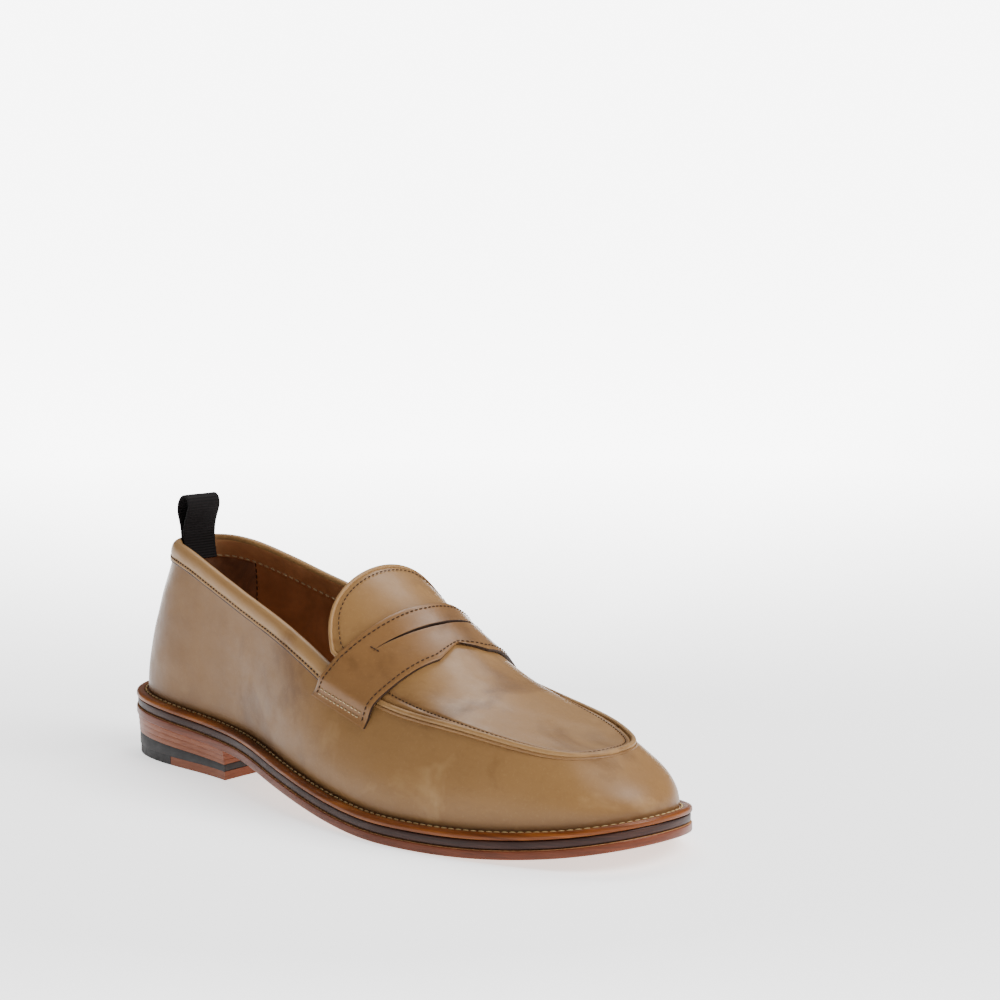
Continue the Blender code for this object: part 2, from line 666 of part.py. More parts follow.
def apron_level_grid(inset, rear_x, rows, columns):
    """Level places of the apron's grid, its edge set in from the seam."""
    a = share_at(rear_x, -1)
    b = share_at(APRON_CORNERS[0], -1)
    c = share_at(APRON_CORNERS[1], 1)
    d = share_at(rear_x, 1)

    def seam(shares):
        rows_ = station(shares)[:, 2:4]
        step = station(shares + 1e-4)[:, 2:4] - station(shares - 1e-4)[:, 2:4]
        step /= np.linalg.norm(step, axis=1, keepdims=True)
        inwards = np.column_stack([-step[:, 1], step[:, 0]])
        return rows_ + inwards * inset

    lateral = seam(np.linspace(a, b, rows))
    toe = seam(np.linspace(b, c, columns))
    medial = seam(np.linspace(d, c, rows))
    rear = np.linspace(lateral[0], medial[0], columns)
    toe[0], toe[-1] = lateral[-1], medial[-1]
    return coons(lateral, toe, medial, rear, rows, columns)


def raise_grid(level, depth):
    """Level grid lifted to the instep's surface, sunk by depth along its normal."""
    x, y = level[..., 0], level[..., 1]
    h = 0.5
    slope_x = (instep_height(x + h, y) - instep_height(x - h, y)) / (2 * h)
    slope_y = (instep_height(x, y + h) - instep_height(x, y - h)) / (2 * h)
    normal = np.stack([-slope_x, -slope_y, np.ones_like(slope_x)], axis=-1)
    normal /= np.linalg.norm(normal, axis=-1, keepdims=True)
    return np.stack([x, y, instep_height(x, y)], axis=-1) - normal * depth


def build_apron():
    level = apron_level_grid(2.1, SEAM_START + 4.0, 13, 13)
    loft("apron", CALF, raise_grid(level, -0.2), raise_grid(level, UPPER - 0.2))
    lined = apron_level_grid(7.5, SEAM_START + 8.0, 10, 10)
    under = UPPER + 0.2
    loft("apron_lining", LINING_LEATHER, raise_grid(lined, under), raise_grid(lined, under + LINING))
    shares = np.linspace(share_at(SEAM_START + 3.0, -1), share_at(SEAM_START + 3.0, 1), 40)
    ridge = station(shares)[:, 2:5]
    ridge[:, 2] += 0.5
    cord("apron_bead", CALF, ridge, BEAD_R)


def build_strap():
    count = 33
    places = np.linspace(-1, 1, count)
    rows = (0.0, 0.16, None, None, 0.72, 0.86, 1.0)
    outer = np.zeros((len(rows), count, 3))
    inner = np.zeros_like(outer)
    for j, s in enumerate(places):
        length = float(strap_front(abs(s)) - strap_rear(abs(s)))
        middle = SLIT[1] - SLIT[2] * min(abs(s), SLIT[0])**2
        open_share = max(0.0, 1 - (abs(s) / SLIT[0])**2)
        half = (0.25 + SLIT[3] * open_share) / length
        stops = (0.0, middle * 0.5, middle - half, middle + half, 0.72, 0.86, 1.0)
        for i, t in enumerate(stops):
            outer[i, j] = strap_point(s, t, STRAP_LIFT + STRAP)
            inner[i, j] = strap_point(s, t, STRAP_LIFT)
    slit = [(2, j) for j in range(count - 1) if max(abs(places[j]), abs(places[j + 1])) < SLIT[0] + 0.02]
    loft("saddle_strap", CALF, outer, inner, skip=slit)


def build_collar():
    start = share_at(COLLAR_END, -1)
    stop = share_at(COLLAR_END, 1) - 1.0
    shares = columns_between(stop, start)
    lines = []
    outer_leg, inner_leg = 7.4, 9.0
    stack = UPPER + SKIN_GAP + LINING + GAP
    cloth = COLLAR_CLOTH

    def at(share, drop, lift):
        rise = rise_below_top(share, drop) if drop > 0 else 1.0
        point, out, up = wall_frame(np.array(share), np.array(rise))
        return point + out * lift + up * max(0.0, -drop)

    ease = SKIN_GAP
    half_out = (ease + stack) / 2 + cloth
    half_in = (ease + stack) / 2
    middle = ease - half_in
    corners = [(outer_leg, ease + cloth), (outer_leg / 2, ease + cloth), (half_out, middle + half_out)]
    corners += [(half_out - half_out * math.sin(a), middle + half_out * math.cos(a))
                for a in np.radians((30, 60, 90, 120, 150, 180))]
    corners += [(inner_leg / 2, -stack - cloth), (inner_leg, -stack - cloth), (inner_leg, -stack),
                (inner_leg / 2, -stack)]
    corners += [(half_out, middle - half_in), (half_out - half_in * 0.8, middle - half_in * 0.65),
                (half_out - half_in * 0.8, middle + half_in * 0.65), (half_out, middle + half_in)]
    corners += [(outer_leg / 2, ease), (outer_leg, ease)]
    for drop, lift in corners:
        lines.append([at(s, drop, lift) for s in shares])
    sweep("collar_binding", CALF, np.array(lines), False)


def stiff(shares):
    """1 where the counter or the puff lies behind the wall, 0 between."""
    wrapped = np.minimum(np.mod(shares, 1.0), 1 - np.mod(shares, 1.0))
    heel = np.clip((COUNTER_REACH + 0.035 - wrapped) / 0.03, 0, 1)
    toe = np.clip((PUFF_REACH + 0.035 - np.abs(np.mod(shares, 1.0) - TOE_SHARE)) / 0.03, 0, 1)
    blend = np.maximum(heel, toe)
    return blend * blend * (3 - 2 * blend)


def lining_depth(shares, rises):
    low = 1.0 - np.clip((rises - 0.6) / 0.2, 0, 1)
    return UPPER + SKIN_GAP + np.outer(low, stiff(shares)) * (STIFFENER + GAP)


def lining_piece(name, material, shares, rises):
    depth = lining_depth(shares, rises)
    loft(name, material, skin(shares, rises, depth), skin(shares, rises, depth + LINING))


def build_linings():
    grip = 0.075
    quarter = share_at(150.0, -1)
    quarter_inner = share_at(150.0, 1)
    gap = 0.0012
    rear = rises_between(0.93, 0.13)
    lining_piece("heel_grip_lining", GRIP, columns_between(-grip, grip), rear)
    lining_piece("quarter_lining_lateral", LINING_LEATHER, columns_between(grip + gap, quarter), rear)
    medial = columns_between(quarter_inner, 1 - grip - gap)
    lining_piece("quarter_lining_medial", LINING_LEATHER, medial, rear)
    front = rises_between(0.86, 0.17)
    lining_piece("vamp_lining", LINING_LEATHER, columns_between(quarter + gap, quarter_inner - gap), front)
    depth = UPPER + GAP
    heel = columns_between(-COUNTER_REACH, COUNTER_REACH)
    rises = rises_between(0.58, 0.13)
    loft("heel_counter", BOARD, skin(heel, rises, depth), skin(heel, rises, depth + STIFFENER))
    toe = columns_between(TOE_SHARE - PUFF_REACH, TOE_SHARE + PUFF_REACH)
    rises = rises_between(0.58, 0.17)
    loft("toe_puff", BOARD, skin(toe, rises, depth), skin(toe, rises, depth + STIFFENER))


# ---- tongue ---------------------------------------------------------------------------
def tongue_level_grid(shrink, rows, columns):
    """Level places of the flap: a straight rear edge with round corners, widest at the strap."""
    t = np.linspace(0, 1, rows)
    s = np.linspace(-1, 1, columns)
    grid = np.zeros((rows, columns, 2))
    for i in range(rows):
        for j in range(columns):
            bend = 11.0 * abs(s[j])**5
            rear = TONGUE_REAR + shrink + bend
            x = rear + (TONGUE_FRONT - rear) * t[i]
            half = TONGUE_HALF - shrink
            grid[i, j] = (x, float(centre(x)) + s[j] * half)
    return grid


def build_tongue():
    level = tongue_level_grid(0.0, 7, 15)
    loft("tongue", CALF, raise_grid(level, 0.0), raise_grid(level, TONGUE), origin=TONGUE_HINGE)
    lined = tongue_level_grid(1.2, 6, 13)
    under = TONGUE + GAP
    loft("tongue_lining", LINING_LEATHER, raise_grid(lined, under), raise_grid(lined, under + LINING),
         origin=TONGUE_HINGE)


# ---- pull tab -------------------------------------------------------------------------
def ribbon(name, path, origin):
    """Flat ribbon of even width along a path in the shoe's middle plane."""
    path = np.asarray(path, float)
    step = np.gradient(path, axis=0)
    side = np.column_stack([step[:, 1], -step[:, 0]])
    side /= np.linalg.norm(side, axis=1, keepdims=True)
    faces = []
    for sign in (-0.5, 0.5):
        line = path + side * RIBBON * sign
        faces.append(line)
    lines = []
    for face, width in ((0, -0.5), (1, -0.5), (1, 0.5), (0, 0.5)):
        line = faces[face]
        lines.append(np.column_stack([line[:, 0], np.full(len(line), RIBBON_WIDTH * width), line[:, 1]]))
    return sweep(name, GROSGRAIN, np.array(lines), False, origin=origin)


def build_tab():
    x0, _, z0 = TAB_HINGE
    rear = line_curve([(0, -0.75), (5, -1.7), (9, -2.8), (12.5, -2.4), (15.6, 0.3)])
    front = line_curve([(0, 0.75), (5, 1.5), (9, 3.0), (12.5, 4.1), (15.0, 3.8)])
    up = np.array([0.0, 3.0, 6.0, 9.0, 11.7, 13.8])
    back_leg = [(x0 + float(rear(h)), z0 + h) for h in up]
    top = [(x0 - 0.9, z0 + 15.5), (x0 + 0.9, z0 + 16.4), (x0 + 2.8, z0 + 16.1)]
    front_leg = [(x0 + float(front(h)), z0 + h) for h in up[::-1]]
    ribbon("pull_tab", back_leg + top + front_leg, TAB_HINGE)
    depth = UPPER + SKIN_GAP + LINING + GAP + COLLAR_CLOTH + SKIN_GAP
    shares = np.linspace(-TAB_REACH, TAB_REACH, 7)
    rises = np.array([rise_below_top(0.0, drop) for drop in (0.3, 4.0, 8.0, 12.0)])
    front = skin(shares, rises, depth)
    back = skin(shares, rises, depth + 2 * RIBBON)
    for side in (front, back):
        side[0, :, 2] += ANCHOR_RISE
    loft("pull_tab_anchor", GROSGRAIN, front, back)


def main():
    build_sole()
    build_inside_of_sole()
    build_heel()
    build_wall()
    build_apron()
    build_strap()
    build_collar()
    build_linings()
    build_tongue()
    build_tab()


clear_scene()
SHOE = group("penny_loafer")
CALF = leather("burnished calf", (0.36, 0.22, 0.11), 0.32)
LINING_LEATHER = leather("lining leather", (0.16, 0.075, 0.03), 0.55)
GRIP = leather("heel grip suede", (0.13, 0.075, 0.045), 0.85)
BOARD = leather("stiffener board", (0.45, 0.4, 0.32), 0.8)
SOLE_LEATHER = leather("outsole leather", (0.3, 0.1, 0.04), 0.4)
MIDSOLE_DARK = leather("midsole", (0.05, 0.035, 0.03), 0.5)
WELT_AMBER = leather("welt leather", (0.35, 0.15, 0.05), 0.4)
THREAD = leather("welt thread", (0.75, 0.65, 0.48), 0.7)
CORK = leather("cork", (0.35, 0.22, 0.12), 0.9)
STEEL = leather("spring steel", (0.5, 0.5, 0.5), 0.35, 1.0)
INSOLE_TAN = leather("insole leather", (0.5, 0.35, 0.2), 0.7)
SOCK_LEATHER = leather("sock leather", (0.25, 0.12, 0.05), 0.55)
STACKED = leather("stacked leather", (0.32, 0.13, 0.06), 0.45)
RUBBER = leather("heel rubber", (0.02, 0.02, 0.02), 0.6)
GROSGRAIN = leather("grosgrain ribbon", (0.015, 0.012, 0.012), 0.8)
main()
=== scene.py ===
import math

import bmesh
import bpy
import numpy as np
from mathutils import Matrix, Vector


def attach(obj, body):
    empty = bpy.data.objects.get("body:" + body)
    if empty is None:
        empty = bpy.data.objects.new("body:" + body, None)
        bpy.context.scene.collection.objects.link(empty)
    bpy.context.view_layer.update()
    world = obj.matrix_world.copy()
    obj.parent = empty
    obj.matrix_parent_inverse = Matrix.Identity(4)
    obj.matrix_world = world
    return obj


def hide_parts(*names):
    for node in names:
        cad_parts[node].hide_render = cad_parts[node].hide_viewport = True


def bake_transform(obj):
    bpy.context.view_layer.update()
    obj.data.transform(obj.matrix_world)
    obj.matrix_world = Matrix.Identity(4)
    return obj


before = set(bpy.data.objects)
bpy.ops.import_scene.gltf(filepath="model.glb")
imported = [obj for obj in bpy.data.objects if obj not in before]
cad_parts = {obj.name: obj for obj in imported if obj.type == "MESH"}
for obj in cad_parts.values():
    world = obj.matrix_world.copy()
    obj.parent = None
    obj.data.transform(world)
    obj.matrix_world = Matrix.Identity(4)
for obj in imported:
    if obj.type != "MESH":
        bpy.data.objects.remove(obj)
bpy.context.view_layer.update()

MM = 0.001

# ---- sizes of the shoe, in millimetres ------------------------------------------------
GAP = 0.3                 # clearance between neighbouring layers
OUTSOLE = 3.7
MIDSOLE = 3.3
WELT = 2.6
FEATHER_INSET = 5.1       # sole edge to the foot of the upper
UPPER = 1.3
LINING = 0.8
HEEL_BREAST = 75.0
BREAST_BOW = 2.0
STRAP = 1.5
SEAM_START = 166.0        # where the collar gives way to the apron seam
COLLAR_END = 150.0
APRON_CORNERS = (254.0, 252.0)   # x of the apron grid's front corners, outer and inner side
COLLAR_BAND = 7.4
FACING_BAND = 9.0
TONGUE = 1.3
TAB_HINGE = (25.0, 0.0, 92.8)
RIBBON = 1.1
RIBBON_WIDTH = 17.0
TURN_SHARE = 0.55

# Stations round the shoe, heel back first, then the outer side, the toe and the inner side:
# sole edge x, y; top edge of the wall x, y, z; low handle height, bulge; high handle drop, bulge.
STATIONS = [
    (0.0, 0.0, 19.0, 0.0, 90.2, 21, 0.8, 21, 5.0),
    (8.0, -20.5, 24.8, -11.6, 90.3, 20, 0.8, 20, 4.6),
    (30.0, -30.0, 38.2, -17.6, 89.4, 19, 1.2, 19, 3.6),
    (60.0, -31.2, 62.0, -22.9, 84.0, 18, 1.6, 18, 2.0),
    (90.0, -35.2, 90.0, -27.6, 76.7, 16, 1.8, 18, 1.8),
    (120.0, -44.9, 119.0, -33.0, 69.8, 15, 2.0, 17, 3.2),
    (146.0, -51.0, 145.0, -37.0, 61.0, 14, 2.2, 15, 4.6),
    (168.0, -54.2, 166.0, -38.3, 52.6, 13, 2.4, 13, 5.6),
    (192.0, -56.0, 190.0, -38.7, 47.9, 13, 2.5, 11, 6.4),
    (216.0, -53.9, 214.0, -38.4, 46.7, 12, 2.5, 10, 6.4),
    (240.0, -48.5, 236.0, -35.3, 44.6, 12, 2.2, 9, 6.2),
    (261.0, -41.0, 254.0, -28.7, 41.6, 11, 1.6, 7.5, 6.6),
    (279.0, -31.8, 265.5, -20.0, 40.1, 10, 1.0, 6.5, 8.0),
    (290.0, -19.0, 269.8, -10.0, 39.7, 10, 0.6, 5.5, 9.0),
    (294.0, 1.0, 270.5, 0.0, 39.9, 10, 0.5, 5.5, 9.2),
    (289.0, 19.0, 268.0, 9.3, 40.4, 10, 0.6, 5.5, 9.0),
    (273.0, 34.0, 258.5, 16.8, 41.6, 11, 1.4, 7.0, 8.0),
    (250.0, 44.0, 242.0, 22.8, 43.6, 12, 2.2, 8.5, 8.0),
    (222.0, 47.5, 218.0, 27.6, 45.7, 12, 2.6, 10, 8.0),
    (195.0, 45.0, 193.0, 31.0, 48.4, 13, 2.8, 11, 6.6),
    (170.0, 38.8, 169.0, 34.0, 52.6, 14, 4.0, 13, 4.4),
    (146.0, 33.2, 145.0, 35.4, 61.2, 14, 5.0, 15, 2.6),
    (118.0, 29.6, 118.0, 31.8, 69.0, 15, 4.4, 17, 1.4),
    (88.0, 30.0, 88.0, 26.8, 76.2, 16, 3.0, 18, 1.2),
    (60.0, 31.4, 62.0, 22.6, 83.4, 18, 2.0, 18, 2.0),
    (30.0, 30.2, 38.2, 17.8, 89.2, 19, 1.2, 19, 3.6),
    (8.0, 20.5, 24.8, 11.7, 90.3, 20, 0.8, 20, 4.6),
]

# Underside of the outsole along the shoe: raised heel seat, waist, ball on the ground, toe spring.
UNDERSIDE = [(0, 17.2), (35, 15.4), (64, 13.4), (99, 11.0), (129, 7.5), (159, 2.8), (189, 0.15),
             (205, 0.0), (219, 0.15), (249, 1.8), (274, 5.2), (296, 9.6)]

# Line along the top of the instep, from the tongue's edge to the apron's toe: x, height.
CREST = [(128, 99.0), (140, 93.8), (161, 81.2), (184, 67.8), (204, 57.6), (229, 48.6), (250, 43.4),
         (262, 41.2), (272, 40.4)]
CENTRE = [(128, -1.5), (184, -2.5), (204, -4.0), (229, -5.5), (250, -5.5), (272, -1.0)]

# Saddle strap: share of the way from the centre to an end, and x there.
STRAP_REAR = [(0.0, 164.2), (0.13, 163.6), (0.37, 161.6), (0.58, 157.4), (0.8, 151.2), (0.9, 147.6),
              (1.0, 143.4)]
STRAP_FRONT = [(0.0, 190.0), (0.25, 189.6), (0.373, 188.8), (0.58, 185.8), (0.756, 181.8), (0.86, 179.0),
               (0.943, 177.0), (1.0, 175.8)]
STRAP_AXIS_Z = 45.0       # the strap's spokes turn about this height
STRAP_REACH = (85.5, 96.5)   # spoke angle from upright at the rear and the front corner, degrees
NOTCH = (0.34, 5.0)       # half width as a share of the strap, and depth of the V
SEAM_PLACE = (0.88, 0.11)    # where, and how widely, the strap rides up over the collar's end and the seam
SEAM_RISE = 1.9
STRAP_LIFT = 1.0          # clearance under the strap
SLIT = (0.56, 0.42, 0.3, 0.7)   # half length share, middle place, sweep back, half width


# ---- curves ---------------------------------------------------------------------------
def between(rows, bends, i, j, width, a):
    """Value of a cubic spline at a distance a past its knot i, on the way to knot j."""
    b = width - a
    return ((bends[i] * b**3 + bends[j] * a**3) / (6 * width)
            + (rows[i] / width - bends[i] * width / 6) * b
            + (rows[j] / width - bends[j] * width / 6) * a)


def ring_curve(values):
    """Closed smooth curve through rows of values; returns f(share of the way round)."""
    rows = np.array(values, float)
    count = len(rows)
    steps = np.linalg.norm(np.roll(rows[:, :2], -1, axis=0) - rows[:, :2], axis=1)
    knots = np.concatenate([[0.0], np.cumsum(steps)])
    before = np.roll(steps, 1)
    slopes = (np.roll(rows, -1, axis=0) - rows) / steps[:, None]
    matrix = np.zeros((count, count))
    for i in range(count):
        matrix[i, i - 1] += before[i]
        matrix[i, i] += 2 * (before[i] + steps[i])
        matrix[i, (i + 1) % count] += steps[i]
    bends = np.linalg.solve(matrix, 6 * (slopes - np.roll(slopes, 1, axis=0)))

    def at(share):
        place = np.mod(np.asarray(share, float), 1.0) * knots[-1]
        i = np.clip(np.searchsorted(knots, place, side="right") - 1, 0, count - 1)
        j = (i + 1) % count
        return between(rows, bends, i, j, steps[i][..., None], (place - knots[i])[..., None])
    return at


def line_curve(points):
    """Smooth curve y(x) through points, straight beyond its ends."""
    x, y = np.array(points, float).T
    count = len(x)
    steps = np.diff(x)
    slopes = np.diff(y) / steps
    matrix = np.eye(count)
    right = np.zeros(count)
    for i in range(1, count - 1):
        matrix[i, i - 1:i + 2] = steps[i - 1], 2 * (steps[i - 1] + steps[i]), steps[i]
        right[i] = 6 * (slopes[i] - slopes[i - 1])
    bends = np.linalg.solve(matrix, right)

    def at(place):
        place = np.clip(np.asarray(place, float), x[0], x[-1])
        i = np.clip(np.searchsorted(x, place, side="right") - 1, 0, count - 2)
        return between(y, bends, i, i + 1, steps[i], place - x[i])
    return at


station = ring_curve(STATIONS)
underside = line_curve(UNDERSIDE)
crest = line_curve(CREST)
centre = line_curve(CENTRE)
strap_rear = line_curve(STRAP_REAR)
strap_front = line_curve(STRAP_FRONT)

ROUND = np.linspace(0, 1, 2000, endpoint=False)
EDGE = station(ROUND)[:, :2]
TOE_SHARE = ROUND[np.argmax(EDGE[:, 0])]
ORIGIN = np.array([(EDGE[:, 0].min() + EDGE[:, 0].max()) / 2, (EDGE[:, 1].min() + EDGE[:, 1].max()) / 2, 0.0])


def midsole_bottom(x):
    return underside(x) + OUTSOLE + GAP


def midsole_top(x):
    return midsole_bottom(x) + MIDSOLE


def welt_top(x):
    return midsole_top(x) + GAP + WELT


def outward(share):
    """Level unit vector pointing out of the shoe at a place round its edge."""
    step = station(np.asarray(share) + 1e-4)[..., :2] - station(np.asarray(share) - 1e-4)[..., :2]
    step /= np.linalg.norm(step, axis=-1, keepdims=True)
    return np.stack([step[..., 1], -step[..., 0]], axis=-1)


def edge_inset(share, inset):
    return station(share)[..., :2] - outward(share) * inset


def share_at(x, side):
    """Place round the shoe where the wall's top edge passes x, on side -1 (outer) or +1 (inner)."""
    half = (ROUND < TOE_SHARE) if side < 0 else (ROUND > TOE_SHARE)
    places = ROUND[half]
    tops = station(places)[:, 2]
    order = np.argsort(tops)
    return float(np.interp(x, tops[order], places[order]))


def even_columns(count):
    """Places round the shoe, closer together where the edge turns."""
    step = np.roll(EDGE, -1, axis=0) - EDGE
    heading = np.arctan2(step[:, 1], step[:, 0])
    turn = np.abs(np.angle(np.exp(1j * (np.roll(heading, -1) - heading))))
    weight = np.linalg.norm(step, axis=1) / 760.0 + turn / (2 * np.pi) * TURN_SHARE
    total = np.concatenate([[0.0], np.cumsum(weight)])
    return np.interp(np.arange(count) / count * total[-1], total, np.append(ROUND, 1.0))


# ---- surfaces of the upper ------------------------------------------------------------
def wall_point(share, rise):
    """Outer face of the upper's wall: rise 0 at the welt, 1 at the top edge."""
    row = station(share)
    out = np.concatenate([outward(share), np.zeros(np.shape(share) + (1,))], axis=-1)
    up = np.array([0.0, 0.0, 1.0])
    foot_xy = row[..., :2] - out[..., :2] * FEATHER_INSET
    foot = np.concatenate([foot_xy, welt_top(foot_xy[..., 0])[..., None]], axis=-1)
    top = row[..., 2:5]
    low = foot + up * row[..., 5:6] + out * row[..., 6:7]
    high = top - up * row[..., 7:8] + out * row[..., 8:9]
    t = np.asarray(rise, float)[..., None]
    return foot * (1 - t)**3 + 3 * low * t * (1 - t)**2 + 3 * high * t**2 * (1 - t) + top * t**3


def wall_frame(share, rise):
    """Point on the wall, the way out of it and the way up it."""
    step = 2e-3
    across = wall_point(share + step, rise) - wall_point(share - step, rise)
    up = wall_point(share, rise + step) - wall_point(share, rise - step)
    up /= np.linalg.norm(up, axis=-1, keepdims=True)
    out = np.cross(across, up)
    out /= np.linalg.norm(out, axis=-1, keepdims=True)
    return wall_point(share, rise), out, up


def seam_place(x, side):
    """Level place of the apron seam on one side, at x."""
    half = (ROUND < TOE_SHARE) if side < 0 else (ROUND > TOE_SHARE)
    rows = station(ROUND[half])
    order = np.argsort(rows[:, 2])
    return np.interp(x, rows[order, 2], rows[order, 3]), np.interp(x, rows[order, 2], rows[order, 4])


def instep_height(x, y):
    """Top of the instep and apron over a level place."""
    x = np.asarray(x, float)
    y = np.asarray(y, float)
    middle = centre(x)
    reach_x = np.clip(x, SEAM_START, 269.0)
    outer_y, outer_z = seam_place(reach_x, -1)
    inner_y, inner_z = seam_place(reach_x, 1)
    width = np.where(y < middle, middle - outer_y, inner_y - middle)
    side = np.where(y < middle, outer_z, inner_z)
    drop = np.maximum(crest(reach_x) - side, 0.0)
    q = (y - middle) / width
    return crest(x) - drop * (0.68 * q**2 + 0.32 * q**4)


def section(x):
    """Cross-section of the closed upper at x: level and upright coordinates, outer side first."""
    rises = np.linspace(0.05, 1.0, 24)
    sides = []
    for side in (-1, 1):
        places = np.linspace(share_at(100.0, side), share_at(240.0, side), 90)
        grid = wall_point(*np.meshgrid(places, rises))
        rows = []
        for row in grid:
            order = np.argsort(row[:, 0])
            places_y, places_z = row[order, 1], row[order, 2]
            rows.append((np.interp(x, row[order, 0], places_y), np.interp(x, row[order, 0], places_z)))
        sides.append(np.array(rows))
    left, right = sides
    y = np.linspace(left[-1, 0], right[-1, 0], 41)[1:-1]
    arch = np.stack([y, instep_height(np.full_like(y, x), y)], axis=1)
    return np.vstack([left, arch, right[::-1]])


def coons(lateral, toe, medial, rear, rows, columns):
    """Level grid filling the U between four matching edges."""
    t = np.linspace(0, 1, rows)[:, None, None]
    s = np.linspace(0, 1, columns)[None, :, None]
    left = lateral[:, None, :]
    right = medial[:, None, :]
    back = rear[None, :, :]
    front = toe[None, :, :]
    corners = ((1 - s) * (1 - t) * rear[0] + s * (1 - t) * rear[-1] + (1 - s) * t * toe[0] + s * t * toe[-1])
    return (1 - s) * left + s * right + (1 - t) * back + t * front - corners


def apron_level_grid(inset, rear_x, rows, columns):
    """Level places of the apron's grid, its edge set in from the seam."""
    a = share_at(rear_x, -1)
    b = share_at(APRON_CORNERS[0], -1)
    c = share_at(APRON_CORNERS[1], 1)
    d = share_at(rear_x, 1)

    def seam(shares):
        line = station(shares)[:, 2:4]
        step = station(shares + 1e-4)[:, 2:4] - station(shares - 1e-4)[:, 2:4]
        step /= np.linalg.norm(step, axis=1, keepdims=True)
        inwards = np.column_stack([-step[:, 1], step[:, 0]])
        return line + inwards * inset

    lateral = seam(np.linspace(a, b, rows))
    toe = seam(np.linspace(b, c, columns))
    medial = seam(np.linspace(d, c, rows))
    rear = np.linspace(lateral[0], medial[0], columns)
    toe[0], toe[-1] = lateral[-1], medial[-1]
    return coons(lateral, toe, medial, rear, rows, columns)


# ---- helpers on the shoe's own surfaces -----------------------------------------------
AROUND = even_columns(720)


def spread(u):
    """Place round the shoe for an even run of columns, closer together at heel and toe."""
    return np.interp(u, np.linspace(0, 1, 721), np.append(AROUND, 1.0))


def place(points):
    """Design millimetres to metres about the row's origin."""
    return (np.asarray(points, float) - ORIGIN) * MM


def smooth(t):
    t = np.clip(t, 0.0, 1.0)
    return t * t * (3 - 2 * t)


def unit(rows):
    return rows / np.maximum(np.linalg.norm(rows, axis=-1, keepdims=True), 1e-9)


def ripple(points, size, seed, stretch=(1.0, 1.0, 1.0)):
    """Soft unevenness of hand-lasted leather, about -1 to 1."""
    chance = np.random.default_rng(seed)
    total = np.zeros(len(points))
    for _ in range(7):
        way = unit(chance.normal(size=3)) / np.array(stretch)
        wave = size * chance.uniform(0.6, 1.5)
        total += np.sin(points @ way * (2 * np.pi / wave) + chance.uniform(0, 6.28))
    return total / 3.5


def read_table(table, row, column):
    """Value of a table at places between its rows and columns."""
    i = np.clip(row.astype(int), 0, len(table) - 2)
    j = np.clip(column.astype(int), 0, table.shape[1] - 2)
    a, b = row - i, column - j
    if table.ndim == 3:
        a, b = a[:, None], b[:, None]
    near = table[i, j] * (1 - a) + table[i + 1, j] * a
    far = table[i, j + 1] * (1 - a) + table[i + 1, j + 1] * a
    return near * (1 - b) + far * b


DROP_STEP = 0.5
DROPS = np.arange(53) * DROP_STEP
DROP_SHARES = np.linspace(0, 1, 361)
UPPER_RISES = np.linspace(0.35, 1.0, 131)
UPPER_WALL = wall_point(*np.meshgrid(DROP_SHARES, UPPER_RISES, indexing="ij"))
TO_TOP = np.linalg.norm(UPPER_WALL - UPPER_WALL[:, -1:], axis=-1)
DROP_RISES = np.array([np.interp(-DROPS, -away, UPPER_RISES) for away in TO_TOP])


def rise_below_top(share, drop):
    """Rise at a straight distance below the wall's top edge."""
    row = np.mod(share, 1.0) * (len(DROP_SHARES) - 1)
    column = np.clip(drop, 0, DROPS[-1] - 0.01) / DROP_STEP
    return read_table(DROP_RISES, row, column)


def on_wall(share, drop, lift):
    """Point at a drop below the top edge, lifted off the wall, and the way out of the wall there."""
    rise = np.where(drop > 0, rise_below_top(share, drop), 1.0)
    point, out, up = wall_frame(share, rise)
    return point + out * lift[:, None] + up * np.maximum(0.0, -drop)[:, None], out


SEAM_RUN = np.linspace(share_at(SEAM_START, -1), share_at(SEAM_START, 1), 500)
SEAM_LINE = station(SEAM_RUN)[:, 2:5]


def seam_distance(level):
    """Level distance to the apron seam."""
    found = np.full(len(level), 1e9)
    for start in range(0, len(level), 2000):
        part = level[start:start + 2000, None, :] - SEAM_LINE[None, :, :2]
        found[start:start + 2000] = np.sqrt((part**2).sum(-1)).min(1)
    return found


def on_instep(level, lift):
    """Point over the instep at a level place, and the way out of the leather there."""
    x, y = level[:, 0], level[:, 1]
    h = 0.5
    slope_x = (instep_height(x + h, y) - instep_height(x - h, y)) / (2 * h)
    slope_y = (instep_height(x, y + h) - instep_height(x, y - h)) / (2 * h)
    out = unit(np.stack([-slope_x, -slope_y, np.ones_like(slope_x)], axis=-1))
    return np.column_stack([x, y, instep_height(x, y)]) + out * np.asarray(lift)[..., None], out


SPOKE_STEP = 2.0
SPOKE_X = np.arange(138.0, 196.0, SPOKE_STEP)
SPOKE_ANGLES = np.linspace(-25, 205, 231)


def spoke_tables():
    """Distances from the strap's axis to the upper: as lasted, and as pulled leather bridges it."""
    raw_rows, soft_rows = [], []
    window = np.exp(-0.5 * (np.arange(-12, 13) / 4.5)**2)
    window /= window.sum()
    for x in SPOKE_X:
        line = section(x)
        y0 = float(centre(x))
        angles = np.degrees(np.arctan2(line[:, 1] - STRAP_AXIS_Z, -(line[:, 0] - y0)))
        reach = np.hypot(line[:, 0] - y0, line[:, 1] - STRAP_AXIS_Z)
        order = np.argsort(angles)
        raw = np.interp(SPOKE_ANGLES, angles[order], reach[order])
        soft = np.convolve(np.pad(raw, 12, mode="edge"), window, mode="valid")
        raw_rows.append(raw)
        soft_rows.append(np.maximum(raw, soft))
    return np.array(raw_rows), np.array(soft_rows)


RAW_SPOKES, SOFT_SPOKES = spoke_tables()


